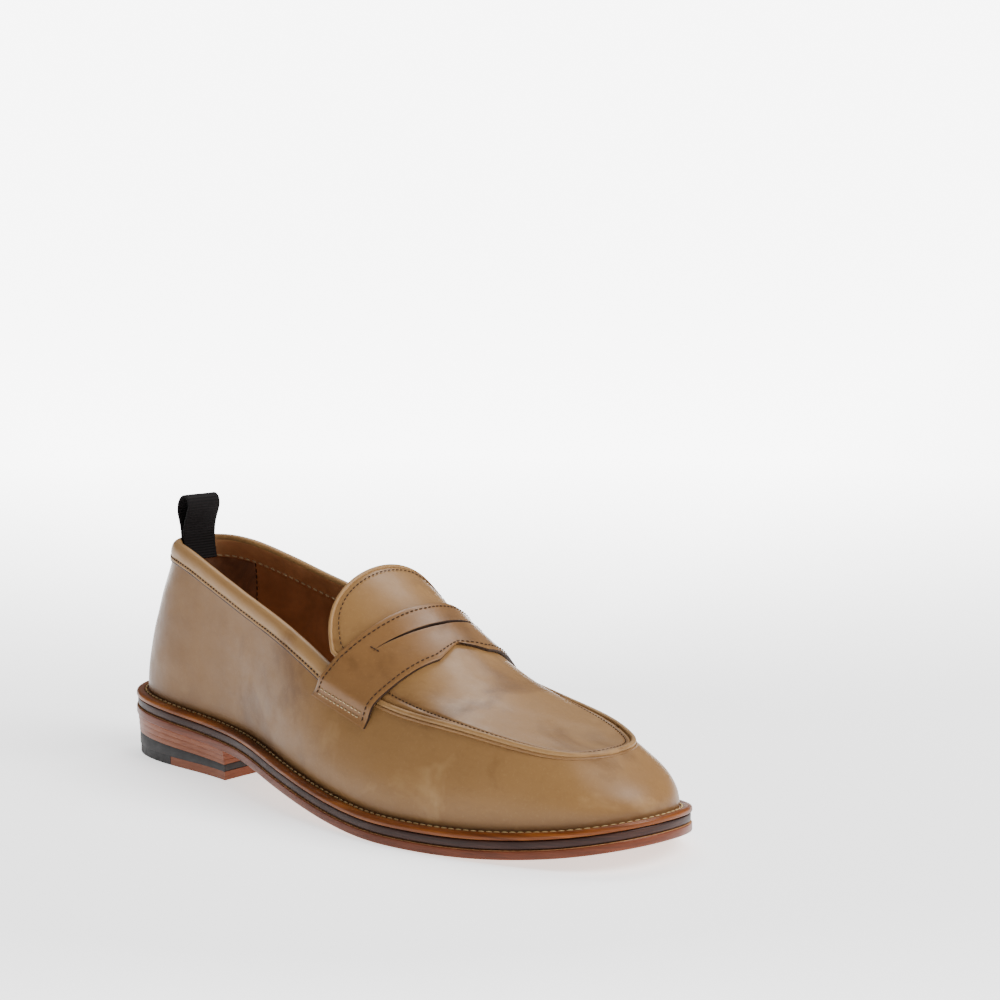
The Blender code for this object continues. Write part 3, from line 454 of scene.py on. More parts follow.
def spoke(table, x, angle):
    row = np.clip((x - SPOKE_X[0]) / SPOKE_STEP, 0, len(SPOKE_X) - 1.001)
    column = np.clip(angle - SPOKE_ANGLES[0], 0, len(SPOKE_ANGLES) - 1.01)
    return read_table(table, row, column)


def on_strap(s, t, lift):
    """Point over the upper: s from the outer end (-1) to the inner end (1), t from rear to front edge."""
    s, t = np.asarray(s, float), np.asarray(t, float)
    away = np.abs(s)
    angle = 90.0 + s * (STRAP_REACH[0] + (STRAP_REACH[1] - STRAP_REACH[0]) * t)
    notch = NOTCH[1] * np.maximum(0.0, 1 - away / NOTCH[0]) * np.clip(t, 0, 1)**5
    x = (1 - t) * strap_rear(away) + t * strap_front(away) - notch
    hold = smooth((away - 0.86) / 0.14)
    bridge = SEAM_RISE * np.exp(-((away - SEAM_PLACE[0]) / SEAM_PLACE[1])**2)
    length = spoke(SOFT_SPOKES, x, angle) * (1 - hold) + spoke(RAW_SPOKES, x, angle) * hold
    length = length + (STRAP_LIFT + bridge) * (1 - hold) + 0.35 * hold + lift
    rad = np.radians(angle)
    return np.column_stack([x, centre(x) - length * np.cos(rad), STRAP_AXIS_Z + length * np.sin(rad)])


def strap_frame(s, t, lift):
    point = on_strap(s, t, lift)
    across = on_strap(s + 0.004, t, lift) - on_strap(s - 0.004, t, lift)
    along = on_strap(s, t + 0.01, lift) - on_strap(s, t - 0.01, lift)
    return point, -unit(np.cross(across, along))


# ---- making pieces --------------------------------------------------------------------
def keep_mesh(name, bm):
    mesh = bpy.data.meshes.new(name)
    bm.to_mesh(mesh)
    bm.free()
    mesh.shade_smooth()
    piece = bpy.data.objects.new(name, mesh)
    bpy.context.scene.collection.objects.link(piece)
    return piece


def laid_grid(columns, rows, surface, opening=None):
    """Grid laid on a surface, which takes shares across and along; opening says which faces are cut out."""
    bm = bmesh.new()
    bm.loops.layers.uv.new("UVMap")
    bmesh.ops.create_grid(bm, x_segments=columns, y_segments=rows, size=0.5, calc_uvs=True)
    if opening is not None:
        gone = [f for f in bm.faces if opening(*(f.calc_center_median().xy + Vector((0.5, 0.5))))]
        bmesh.ops.delete(bm, geom=gone, context="FACES")
    verts = list(bm.verts)
    shares = np.array([v.co[:2] for v in verts]) + 0.5
    points = place(surface(shares[:, 0], shares[:, 1]))
    for vert, point in zip(verts, points):
        vert.co = point
    return bm


def leather_sheet(name, columns, rows, surface, thickness, edge=0.25, opening=None, turned=True):
    """Sheet of leather whose outer face is the surface; its thickness goes inward, its edges are soft."""
    bm = laid_grid(columns, rows, surface, opening)
    bmesh.ops.remove_doubles(bm, verts=bm.verts, dist=1e-5)
    if turned:
        bmesh.ops.reverse_faces(bm, faces=bm.faces)
    piece = keep_mesh(name, bm)
    thick = piece.modifiers.new("thickness", "SOLIDIFY")
    thick.thickness = thickness * MM
    thick.offset = -1.0
    thick.use_even_offset = False
    if edge:
        soft = piece.modifiers.new("edge", "BEVEL")
        soft.width = edge * MM
        soft.segments = 2
        soft.limit_method = "ANGLE"
        soft.angle_limit = math.radians(50)
    return piece


def solid(name, columns, rows, surface, sharp=None):
    """Closed piece from a grid whose edges meet; open ends are capped."""
    bm = laid_grid(columns, rows, surface)
    bmesh.ops.remove_doubles(bm, verts=bm.verts, dist=1e-5)
    bmesh.ops.dissolve_degenerate(bm, edges=bm.edges, dist=1e-7)
    rim = [e for e in bm.edges if e.is_boundary]
    bmesh.ops.holes_fill(bm, edges=rim, sides=0)
    bmesh.ops.recalc_face_normals(bm, faces=bm.faces)
    piece = keep_mesh(name, bm)
    if sharp:
        piece.data.set_sharp_from_angle(angle=math.radians(sharp))
    return piece


def roll(name, path, out, radius, around=12):
    """Round roll of leather along a path."""
    path = np.asarray(path, float)
    along = unit(np.gradient(path, axis=0))
    side = unit(np.cross(along, out))
    out = np.cross(side, along)
    count = len(path) - 1

    def surface(u, v):
        i = np.rint(u * count).astype(int)
        turn = 2 * np.pi * v[:, None]
        return path[i] + (side[i] * np.cos(turn) + out[i] * np.sin(turn)) * radius
    return solid(name, count, around, surface)


def row_at(rows, run, distance):
    """Row of values at a distance along a path."""
    return np.array([np.interp(distance, run, column) for column in rows.T])


# Stitches of each seam: pitch, length and radius.
APRON_STITCH = (2.0, 1.4, 0.24)
COLLAR_STITCH = (2.2, 1.6, 0.3)
FACING_STITCH = (3.4, 2.5, 0.34)
GRIP_STITCH = (2.6, 2.0, 0.28)
TONGUE_STITCH = (2.2, 1.6, 0.27)
STRAP_STITCH = (2.3, 1.7, 0.3)
TACK_STITCH = (1.6, 1.5, 0.28)
WELT_STITCH = (3.3, 2.7, 0.5)


def stitch_row(name, path, out, stitch, slant=0.0, sink=0.15):
    """Row of stitches along a path on the leather, each with the pitch, length and radius in stitch."""
    pitch, length, radius = stitch
    path, out = np.asarray(path, float), np.asarray(out, float)
    run = np.concatenate([[0.0], np.cumsum(np.linalg.norm(np.diff(path, axis=0), axis=1))])
    bm = bmesh.new()
    for k in range(int(run[-1] / pitch)):
        middle = (k + 0.5) * pitch
        ends = [row_at(path, run, middle - length / 2), row_at(path, run, middle + length / 2)]
        up = unit(row_at(out, run, middle))
        way = unit(ends[1] - ends[0])
        side = unit(np.cross(way, up))
        way = unit(way + side * slant)
        side = unit(np.cross(way, up))
        up = np.cross(side, way)
        centre_point = (ends[0] + ends[1]) / 2 + up * radius * (1 - 2 * sink)
        stance = np.eye(4)
        stance[:3, 0] = side * radius * MM
        stance[:3, 1] = up * radius * 0.8 * MM
        stance[:3, 2] = way * length / 2 * MM
        stance[:3, 3] = place(centre_point)
        bmesh.ops.create_uvsphere(bm, u_segments=6, v_segments=5, radius=1.0, matrix=Matrix(stance))
    bmesh.ops.recalc_face_normals(bm, faces=bm.faces)
    return keep_mesh(name, bm)


def dress(piece, finish, body="shoe", stands_for=()):
    """Gives a piece its finish, the body it moves with and the nodes it stands for."""
    piece.data.materials.clear()
    piece.data.materials.append(finish)
    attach(piece, body)
    if stands_for:
        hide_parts(*stands_for)
    return piece


def sew(name, path, out, stitch, thread, slot="burnished_calf", body="shoe", slant=0.0):
    """Row of stitches in its thread."""
    return dress(stitch_row(name, path, out, stitch, slant), thread, body)


def shade_of(piece, name, values):
    """Stores a shade for every vertex, read by the finish."""
    layer = piece.data.attributes.new(name, "FLOAT", "POINT")
    layer.data.foreach_set("value", np.asarray(values, np.float32))


def design_places(piece):
    co = np.zeros(len(piece.data.vertices) * 3)
    piece.data.vertices.foreach_get("co", co)
    return co.reshape(-1, 3) / MM + ORIGIN


# ---- finishes -------------------------------------------------------------------------
def tone(red, green, blue):
    """Colour as the eye names it, 0 to 255, to the shader's linear colour."""
    parts = [c / 255 for c in (red, green, blue)]
    return tuple(c / 12.92 if c <= 0.04045 else ((c + 0.055) / 1.055)**2.4 for c in parts) + (1.0,)


def finish_of(name, roughness, **sockets):
    material = bpy.data.materials.new(name)
    material.use_nodes = True
    shader = material.node_tree.nodes["Principled BSDF"]
    shader.inputs["Roughness"].default_value = roughness
    for key, value in sockets.items():
        shader.inputs[key.replace("_", " ")].default_value = value
    return material


def node(material, kind, sockets, **settings):
    """Adds a node; each socket is given a value or is fed by another node's output."""
    tree = material.node_tree
    made = tree.nodes.new("ShaderNode" + kind)
    for key, value in settings.items():
        setattr(made, key, value)
    for key, value in sockets.items():
        if isinstance(value, bpy.types.NodeSocket):
            tree.links.new(value, made.inputs[key])
        else:
            made.inputs[key].default_value = value
    return made


def feed(material, socket, output):
    shader = material.node_tree.nodes["Principled BSDF"]
    material.node_tree.links.new(output, shader.inputs[socket])


def coords(material, stretch=(1, 1, 1), own_map=False):
    source = node(material, "TexCoord", {}).outputs["UV" if own_map else "Object"]
    return node(material, "Mapping", {"Vector": source, "Scale": stretch}).outputs[0]


def noise(material, where, scale, detail=3.0, rough=0.55, distortion=0.0):
    made = node(material, "TexNoise", {"Vector": where, "Scale": scale, "Detail": detail,
                                       "Roughness": rough, "Distortion": distortion})
    return made.outputs[0]


def cells(material, where, scale):
    return node(material, "TexVoronoi", {"Vector": where, "Scale": scale}).outputs[0]


def ramp(material, value, stops):
    made = node(material, "ValToRGB", {"Fac": value})
    band = made.color_ramp
    while len(band.elements) < len(stops):
        band.elements.new(0.5)
    for element, (at, colour) in zip(band.elements, stops):
        element.position = at
        element.color = colour
    return made.outputs[0]


def level(material, value, low, high, to_low, to_high):
    return node(material, "MapRange", {"Value": value, "From Min": low, "From Max": high,
                                       "To Min": to_low, "To Max": to_high}).outputs[0]


def mix(material, share, one, two):
    made = node(material, "Mix", {}, data_type="RGBA")
    tree = material.node_tree
    for index, value in ((0, share), (6, one), (7, two)):
        if isinstance(value, bpy.types.NodeSocket):
            tree.links.new(value, made.inputs[index])
        else:
            made.inputs[index].default_value = value
    return made.outputs[2]


def times(material, one, two, operation="MULTIPLY"):
    made = node(material, "Math", {}, operation=operation)
    for index, value in enumerate((one, two)):
        if isinstance(value, bpy.types.NodeSocket):
            material.node_tree.links.new(value, made.inputs[index])
        else:
            made.inputs[index].default_value = value
    return made.outputs[0]


def bump(material, height, depth, strength=1.0, under=None):
    sockets = {"Height": height, "Distance": depth * MM, "Strength": strength}
    if under is not None:
        sockets["Normal"] = under
    return node(material, "Bump", sockets).outputs[0]


def burnished_calf(name, light, middle, dark, burnish_and_shade_tone, gloss=0.36):
    """Hand-burnished calf: cloudy tan with darker strokes, fine pores and a waxed gloss."""
    calf = finish_of(name, gloss, Coat_Weight=0.03, Coat_Roughness=0.3, Specular_IOR_Level=0.2)
    where = coords(calf)
    cloud = noise(calf, where, 22.0, 4.0, 0.55, 0.7)
    colour = ramp(calf, cloud, [(0.32, dark), (0.46, middle), (0.62, middle), (0.74, light)])
    strokes = noise(calf, coords(calf, (1.0, 2.2, 3.4)), 95.0, 5.0, 0.65, 1.2)
    stroke_share = level(calf, strokes, 0.5, 0.74, 0.0, 0.2)
    colour = mix(calf, stroke_share, colour, dark)
    fleck = noise(calf, where, 900.0, 2.0, 0.6)
    colour = mix(calf, level(calf, fleck, 0.56, 0.72, 0.0, 0.16), colour, light)
    # stored burnish and painted shade, mixed towards the burnish-and-shade tone
    burnt_and_shaded = node(calf, "Attribute", {}, attribute_name="burnish_and_shade").outputs["Fac"]
    uneven = noise(calf, where, 60.0, 3.0, 0.6)
    burnt_and_shaded = times(calf, burnt_and_shaded, level(calf, uneven, 0.3, 0.7, 0.65, 1.15))
    feed(calf, "Base Color", mix(calf, burnt_and_shaded, colour, burnish_and_shade_tone))
    waxed = level(calf, noise(calf, where, 140.0, 3.0, 0.6), 0.3, 0.7, gloss - 0.05, gloss + 0.09)
    feed(calf, "Roughness", waxed)
    pores = cells(calf, where, 2300.0)
    fine = bump(calf, pores, 0.018, 0.5)
    wrinkle = bump(calf, noise(calf, coords(calf, (1.0, 1.0, 1.6)), 520.0, 4.0, 0.6, 0.8), 0.05, 0.45, fine)
    feed(calf, "Normal", bump(calf, noise(calf, where, 85.0, 3.0, 0.5), 0.35, 0.3, wrinkle))
    return calf


def lining_leather(name, light, dark, roughness=0.5):
    lining = finish_of(name, roughness)
    where = coords(lining)
    cloud = noise(lining, where, 40.0, 4.0, 0.6, 0.5)
    colour = ramp(lining, cloud, [(0.35, dark), (0.65, light)])
    rub = noise(lining, coords(lining, (0.4, 1.0, 1.0)), 300.0, 3.0, 0.6)
    feed(lining, "Base Color", mix(lining, level(lining, rub, 0.5, 0.75, 0.0, 0.3), colour, dark))
    feed(lining, "Roughness", level(lining, cloud, 0.3, 0.7, roughness - 0.06, roughness + 0.1))
    feed(lining, "Normal", bump(lining, cells(lining, where, 1700.0), 0.03, 0.5))
    return lining


def napped(name, light, dark):
    """Suede side out, brushed one way and another."""
    suede = finish_of(name, 0.92, Sheen_Weight=0.35, Sheen_Roughness=0.5)
    where = coords(suede)
    brushed = noise(suede, where, 55.0, 4.0, 0.6, 1.5)
    nap = noise(suede, where, 2600.0, 3.0, 0.7)
    colour = ramp(suede, brushed, [(0.35, dark), (0.65, light)])
    feed(suede, "Base Color", mix(suede, level(suede, nap, 0.4, 0.7, 0.0, 0.4), colour, dark))
    feed(suede, "Normal", bump(suede, nap, 0.12, 0.7))
    return suede


def cut_edge(name, light, middle, dark, roughness, lines=900.0):
    """Waxed edge of sole leather: pressed fibres run level round the shoe."""
    edge = finish_of(name, roughness, Coat_Weight=0.03, Coat_Roughness=0.25, Specular_IOR_Level=0.2)
    fibres = noise(edge, coords(edge, (0.05, 0.05, 1.0)), lines, 4.0, 0.6, 0.1)
    cloud = noise(edge, coords(edge, (1.0, 1.0, 2.5)), 45.0, 4.0, 0.6)
    colour = ramp(edge, fibres, [(0.34, dark), (0.5, middle), (0.66, light)])
    feed(edge, "Base Color", mix(edge, level(edge, cloud, 0.45, 0.75, 0.0, 0.55), colour, dark))
    feed(edge, "Roughness", level(edge, cloud, 0.3, 0.7, roughness - 0.06, roughness + 0.12))
    fine = bump(edge, fibres, 0.05, 0.5)
    feed(edge, "Normal", bump(edge, noise(edge, coords(edge), 260.0, 3.0, 0.6), 0.06, 0.4, fine))
    return edge


def moulded_rubber(name, light, dark):
    rubber = finish_of(name, 0.62)
    where = coords(rubber)
    dusty = noise(rubber, where, 130.0, 4.0, 0.6)
    feed(rubber, "Base Color", ramp(rubber, dusty, [(0.35, dark), (0.75, light)]))
    feed(rubber, "Roughness", level(rubber, dusty, 0.3, 0.7, 0.52, 0.74))
    feed(rubber, "Normal", bump(rubber, noise(rubber, where, 1600.0, 2.0, 0.6), 0.04, 0.5))
    return rubber


def twisted_thread(name, light, dark):
    thread = finish_of(name, 0.75, Specular_IOR_Level=0.2)
    where = coords(thread)
    twist = node(thread, "TexWave", {"Vector": where, "Scale": 900.0, "Distortion": 2.0, "Detail": 2.0},
                 bands_direction="DIAGONAL").outputs[0]
    soil = noise(thread, where, 70.0, 2.0, 0.5)
    colour = ramp(thread, twist, [(0.2, dark), (0.7, light)])
    feed(thread, "Base Color", mix(thread, level(thread, soil, 0.4, 0.7, 0.0, 0.35), colour, dark))
    feed(thread, "Normal", bump(thread, twist, 0.06, 0.6))
    return thread


def ribbed_ribbon(name, light, dark, ribs):
    """Grosgrain: round ribs across the ribbon, close warp threads over them."""
    ribbon = finish_of(name, 0.8, Specular_IOR_Level=0.15)
    own = coords(ribbon, own_map=True)
    rib = node(ribbon, "TexWave", {"Vector": own, "Scale": ribs}, bands_direction="X").outputs[0]
    warp = node(ribbon, "TexWave", {"Vector": own, "Scale": 9.0}, bands_direction="Y").outputs[0]
    weave = times(ribbon, rib, level(ribbon, warp, 0.0, 1.0, 0.75, 1.0))
    lint = noise(ribbon, coords(ribbon), 500.0, 3.0, 0.6)
    colour = ramp(ribbon, weave, [(0.1, dark), (0.9, light)])
    feed(ribbon, "Base Color", mix(ribbon, level(ribbon, lint, 0.5, 0.8, 0.0, 0.3), colour, light))
    feed(ribbon, "Normal", bump(ribbon, weave, 0.16, 0.8))
    return ribbon


def pressed_grain(name, light, dark, scale):
    """Cork, fibreboard and natural insole leather, all a pressed grain."""
    board = finish_of(name, 0.85)
    where = coords(board)
    grain = cells(board, where, scale)
    cloud = noise(board, where, 80.0, 3.0, 0.6)
    colour = ramp(board, grain, [(0.1, dark), (0.6, light)])
    feed(board, "Base Color", mix(board, level(board, cloud, 0.4, 0.7, 0.0, 0.4), colour, dark))
    feed(board, "Normal", bump(board, grain, 0.1, 0.5))
    return board


def rolled_steel(name):
    steel = finish_of(name, 0.35, Metallic=1.0)
    where = coords(steel, (0.1, 1.0, 1.0))
    scratch = noise(steel, where, 900.0, 3.0, 0.6)
    feed(steel, "Base Color", ramp(steel, scratch, [(0.3, tone(150, 150, 150)), (0.7, tone(195, 195, 192))]))
    feed(steel, "Roughness", level(steel, scratch, 0.3, 0.7, 0.28, 0.45))
    feed(steel, "Normal", bump(steel, scratch, 0.02, 0.4))
    return steel


CALF_TONES = (tone(158, 124, 82), tone(133, 99, 60), tone(106, 75, 42))
CALF = burnished_calf("burnished_calf", *CALF_TONES, tone(96, 66, 42))
# lighter copy of the calf for the rolled beads, collar band and tongue piping: painted highlight
LIT_ROLLED_CALF = burnished_calf("rolled_calf_painted_highlight", tone(166, 133, 90), tone(142, 108, 68), tone(112, 80, 46),
                             tone(96, 66, 42), 0.4)
STRAP_CALF = burnished_calf("strap_calf", tone(141, 106, 68), tone(119, 85, 50), tone(94, 65, 36),
                            tone(84, 57, 36), 0.33)
LINING_TAN = lining_leather("lining_tan", tone(172, 120, 78), tone(142, 94, 58))
SOCK_TAN = lining_leather("sock_tan", tone(140, 92, 54), tone(104, 64, 36))
GRIP_SUEDE = napped("heel_grip_suede", tone(150, 104, 70), tone(112, 74, 48))
WELT_AMBER = cut_edge("welt_amber", tone(134, 76, 28), tone(108, 56, 18), tone(80, 38, 10), 0.34, 500.0)
EDGE_RED = cut_edge("outsole_edge", tone(112, 58, 34), tone(100, 49, 27), tone(84, 40, 21), 0.34)
SOLE_FACE = pressed_grain("outsole_face", tone(176, 126, 80), tone(140, 92, 54), 700.0)
STACK = cut_edge("stacked_heel", tone(138, 84, 56), tone(128, 74, 47), tone(114, 63, 40), 0.36, 3200.0)
MIDSOLE_DARK = cut_edge("midsole_dark", tone(62, 38, 30), tone(51, 30, 24), tone(39, 23, 19), 0.42, 1200.0)
HEEL_RUBBER = moulded_rubber("heel_rubber", tone(34, 31, 31), tone(18, 16, 17))
WELT_THREAD = twisted_thread("welt_thread_cream", tone(214, 190, 142), tone(160, 128, 84))
DARK_THREAD = twisted_thread("seam_thread_brown", tone(70, 48, 30), tone(38, 25, 16))
PALE_THREAD = twisted_thread("seam_thread_cream", tone(206, 184, 146), tone(150, 124, 90))
PAINTED_EDGE = moulded_rubber("painted_edge", tone(66, 44, 28), tone(40, 26, 17))
GROSGRAIN = ribbed_ribbon("black_grosgrain", tone(17, 11, 11), tone(6, 4, 4), 16.0)
CORK = pressed_grain("pressed_cork", tone(170, 124, 82), tone(110, 72, 44), 420.0)
BOARD = pressed_grain("stiffener_board", tone(190, 176, 150), tone(160, 144, 118), 900.0)
INSOLE_TAN = pressed_grain("insole_natural", tone(200, 164, 122), tone(170, 132, 92), 1100.0)
SHANK_STEEL = rolled_steel("shank_steel")


# ---- upper ----------------------------------------------------------------------------
def wall_surface(u, v):
    """Wall from the top edge down to the welt, then a little way behind it."""
    share = spread(u)
    fall = np.clip(v / 0.94, 0, 1)
    rise = 1.0 - fall
    point, out, _ = wall_frame(share, np.clip(rise, 0.0, 1.0))
    tuck = np.clip((v - 0.94) / 0.06, 0, 1) * 2.6
    point[:, 2] -= tuck
    uneven = ripple(point, 46.0, 3, (1.4, 1.0, 0.8)) * 0.28 + ripple(point, 17.0, 8, (2.0, 1.0, 1.0)) * 0.07
    return point + out * (uneven * smooth(fall * 3) * smooth((1 - v) * 8) - 0.05)[:, None]


def burnish_and_shade_wall(piece):
    """Darker at the foot by the welt (painted crease shade), at the toe as a burnisher works it, round the
    heel and towards the rear quarters under the collar, with random clouds.
    """
    points = design_places(piece)
    foot = welt_top(points[:, 0])
    # painted shade: darker low on the wall, in the crease by the welt
    low = np.exp(-np.maximum(points[:, 2] - foot, 0) / 3.2)
    # darker round the back of the heel
    heel = np.exp(-((points[:, 0] - 8.0) / 22.0)**2) * 0.25
    # burnisher's darkening at the toe
    toe = np.exp(-((points[:, 0] - 286.0) / 14.0)**2) * 0.18
    # darker towards the rear quarters, under the collar
    quarters = 0.34 * smooth((205.0 - points[:, 0]) / 120.0)
    clouds = 0.1 * np.clip(ripple(points, 60.0, 21), 0, 1)
    shade_of(piece, "burnish_and_shade", np.clip(low * 0.5 + heel + toe + quarters + clouds, 0, 0.85))


def make_wall():
    wall = leather_sheet("wall_leather", 420, 44, wall_surface, UPPER, edge=0)
    burnish_and_shade_wall(wall)
    dress(wall, CALF, stands_for=["upper_wall"])


APRON_EDGE = 1.0          # the apron's cut edge is this far inside the seam
APRON_SEAM = 3.1          # and its stitches are this far inside it


def apron_height(level_places):
    """Lift of the apron's face: rolled over at the rim, pinched along the stitches, softly creased."""
    away = seam_distance(level_places)
    rim = -0.9 * np.exp(-away / 0.9)
    pinch = -0.34 * np.exp(-((away - APRON_SEAM) / 0.55)**2)
    swell = 0.25 * np.exp(-((away - 1.9) / 0.8)**2)
    flat = np.column_stack([level_places, np.zeros(len(level_places))])
    crease = ripple(flat, 24.0, 5, (2.6, 1.0, 1.0)) * 0.2 + ripple(flat, 11.0, 15, (1.6, 1.0, 1.0)) * 0.06
    return 0.35 + rim + pinch + swell + crease * smooth((away - 3.5) / 8)


APRON_ROWS = 200
APRON_GRID = apron_level_grid(APRON_EDGE, SEAM_START + 4.0, APRON_ROWS, APRON_ROWS)


def apron_level(u, v):
    """Level place on the apron; the grid is closer together near the seam."""
    across = (1 - np.cos(np.pi * u)) / 2
    along = np.sin(np.pi / 2 * v)
    return read_table(APRON_GRID, along * (APRON_ROWS - 1), across * (APRON_ROWS - 1))


def apron_surface(u, v):
    level_places = apron_level(u, v)
    return on_instep(level_places, apron_height(level_places))[0]


def outward_top(shares):
    """Level way out of the apron along its seam."""
    step = station(shares + 1e-4)[:, 2:4] - station(shares - 1e-4)[:, 2:4]
    step = unit(step)
    return np.column_stack([step[:, 1], -step[:, 0]])


def make_apron():
    apron = leather_sheet("apron_leather", 120, 130, apron_surface, UPPER)
    points = design_places(apron)
    away = seam_distance(points[:, :2])
    # painted shade: darker along the pinched stitch groove of the apron seam
    shade_of(apron, "burnish_and_shade", np.clip(0.32 * np.exp(-((away - APRON_SEAM) / 1.4)**2), 0, 0.6))
    dress(apron, CALF, stands_for=["apron"])
    count = 420
    shares = np.linspace(share_at(SEAM_START + 3.0, -1), share_at(SEAM_START + 3.0, 1), count)
    ridge = station(shares)[:, 2:5]
    _, out, _ = wall_frame(shares, np.full(count, 0.985))
    level_out = unit(np.column_stack([outward(shares), np.zeros(count)]))
    up = np.tile([0.0, 0.0, 1.0], (count, 1))
    top = roll("apron_rolled_edge", ridge + up * 0.55 - level_out * 0.1, up, 1.15)
    dress(top, LIT_ROLLED_CALF, stands_for=["apron_bead"])
    low = roll("wall_rolled_edge", ridge + level_out * 0.75 - up * 0.75, out, 0.7)
    # painted shade: the roll below the apron's edge is darkened evenly, as the shade under its step
    shade_of(low, "burnish_and_shade", np.full(len(low.data.vertices), 0.35))
    dress(low, CALF)
    run = np.linspace(share_at(SEAM_START + 8.0, -1), share_at(SEAM_START + 8.0, 1), 600)
    line = station(run)[:, 2:4] - outward_top(run) * APRON_SEAM
    points, ways = on_instep(line, apron_height(line))
    sew("apron_stitches", points, ways, APRON_STITCH, DARK_THREAD)


# ---- collar ---------------------------------------------------------------------------
STACK_DEPTH = UPPER + LINING
COLLAR_SHARES = (share_at(COLLAR_END, 1) - 1.0, share_at(COLLAR_END, -1))
COLLAR_PROFILE = np.array([
    (COLLAR_BAND + 0.25, 0.0), (COLLAR_BAND + 0.2, 0.65), (COLLAR_BAND - 0.2, 0.95), (6.7, 0.92), (6.2, 0.82),
    (5.7, 0.95), (5.0, 1.2), (4.2, 1.35), (3.4, 1.42), (2.5, 1.4), (1.6, 1.3), (0.8, 1.05), (0.1, 0.65),
    (-0.45, 0.1), (-0.75, -0.6), (-0.75, -1.35), (-0.4, -2.0), (0.4, -2.5), (1.7, -2.72), (3.5, -2.75),
    (5.5, -2.75), (7.5, -2.75), (8.6, -2.7), (FACING_BAND, -2.55), (FACING_BAND, -STACK_DEPTH)])


def along_profile(profile, v):
    row = np.clip(v, 0, 1) * (len(profile) - 1)
    i = np.clip(row.astype(int), 0, len(profile) - 2)
    return profile[i] + (profile[i + 1] - profile[i]) * (row - i)[:, None]


def collar_surface(u, v):
    share = COLLAR_SHARES[0] + (COLLAR_SHARES[1] - COLLAR_SHARES[0]) * u
    offset = along_profile(COLLAR_PROFILE, v)
    point, out = on_wall(share, offset[:, 0], offset[:, 1])
    soft = ripple(point, 14.0, 31) * 0.08
    return point + out * soft[:, None]


def make_collar():
    collar = leather_sheet("collar_band", 360, 2 * (len(COLLAR_PROFILE) - 1), collar_surface, 0.9, edge=0.2,
                           turned=False)
    count = 400
    profile_shares = np.linspace(*COLLAR_SHARES, count)
    dress(collar, LIT_ROLLED_CALF, stands_for=["collar_binding"])
    collar.data.materials.append(LINING_TAN)
    facing = (len(COLLAR_PROFILE) - 8) / (len(COLLAR_PROFILE) - 1)
    own_map = collar.data.uv_layers[0].data
    for face in collar.data.polygons:
        face.material_index = int(own_map[face.loop_indices[0]].uv.y > facing)
    points, ways = on_wall(profile_shares, np.full(count, 6.2), np.full(count, 0.85))
    sew("collar_stitches", points, ways, COLLAR_STITCH, DARK_THREAD)
    points, ways = on_wall(profile_shares, np.full(count, FACING_BAND - 0.9), np.full(count, -2.75))
    sew("facing_stitches", points, -ways, FACING_STITCH, PALE_THREAD, slant=0.15)
    points, ways = on_wall(profile_shares, np.full(count, COLLAR_BAND + 0.3), np.full(count, 0.3))
    dress(roll("collar_painted_edge", points, ways, 0.5, around=8), PAINTED_EDGE)


# ---- linings --------------------------------------------------------------------------
def lining_depth(rise):
    """Depth of a lining's outer face below the face of the wall, deeper lower down."""
    return UPPER + 0.15 + 1.2 * smooth((0.75 - rise) / 0.3)


def lining_sheet(name, start, stop, high, low, finish, nodes, columns):
    def surface(u, v):
        share = start + (stop - start) * u
        rise = high + (low - high) * v
        point, out, _ = wall_frame(share, rise)
        soft = ripple(point, 20.0, 44) * 0.12
        return point - out * (lining_depth(rise) + soft)[:, None]
    piece = leather_sheet(name, columns, 26, surface, LINING, edge=0.15)
    dress(piece, finish, stands_for=nodes)


def make_linings():
    grip = 0.075
    outer, inner = share_at(150.0, -1), share_at(150.0, 1)
    top, foot = 0.93, 0.13
    lining_sheet("heel_grip_suede", -grip, grip, top, foot, GRIP_SUEDE,
                 ["heel_grip_lining"], 60)
    lining_sheet("outer_quarter_lining", grip - 0.001, outer, top, foot, LINING_TAN,
                 ["quarter_lining_lateral"], 110)
    lining_sheet("inner_quarter_lining", inner, 1 - grip + 0.001, top, foot, LINING_TAN,
                 ["quarter_lining_medial"], 110)
    lining_sheet("front_lining", outer + 0.0012, inner - 0.0012, 0.86, 0.17, LINING_TAN,
                 ["vamp_lining"], 150)
    for name, side in (("outer_grip_stitches", grip), ("inner_grip_stitches", 1 - grip)):
        rises = np.linspace(0.9, 0.2, 120)
        point, out, _ = wall_frame(np.full(120, side), rises)
        deep = lining_depth(rises) + LINING
        sew(name, point - out * deep[:, None], -out, GRIP_STITCH, DARK_THREAD, "lining_leather")


# ---- tongue ---------------------------------------------------------------------------
TONGUE_REAR = 140.3
TONGUE_FRONT = 168.5
TONGUE_HALF = 35.6


def tongue_level(s, t, shrink):
    """Level place on the tongue: a straight rear edge with round corners."""
    rear = TONGUE_REAR + shrink + 9.0 * np.abs(s)**8
    x = rear + (TONGUE_FRONT - 2.6 * s**2 - rear) * t
    return np.column_stack([x, centre(x) + s * (TONGUE_HALF - shrink - 1.6 * smooth((t - 0.35) / 0.6))])


def tongue_lift(level_places, t):
    flat = np.column_stack([level_places, np.zeros(len(level_places))])
    soft = ripple(flat, 22.0, 61, (1.5, 1.0, 1.0)) * 0.22 + ripple(flat, 9.0, 62) * 0.05
    return -0.15 + soft * smooth((1 - t) * 2) * smooth(t * 6)


def tongue_surface(u, v):
    s = np.sin(np.pi * (u - 0.5))
    level_places = tongue_level(s, v, 0.5)
    return on_instep(level_places, tongue_lift(level_places, v))[0]


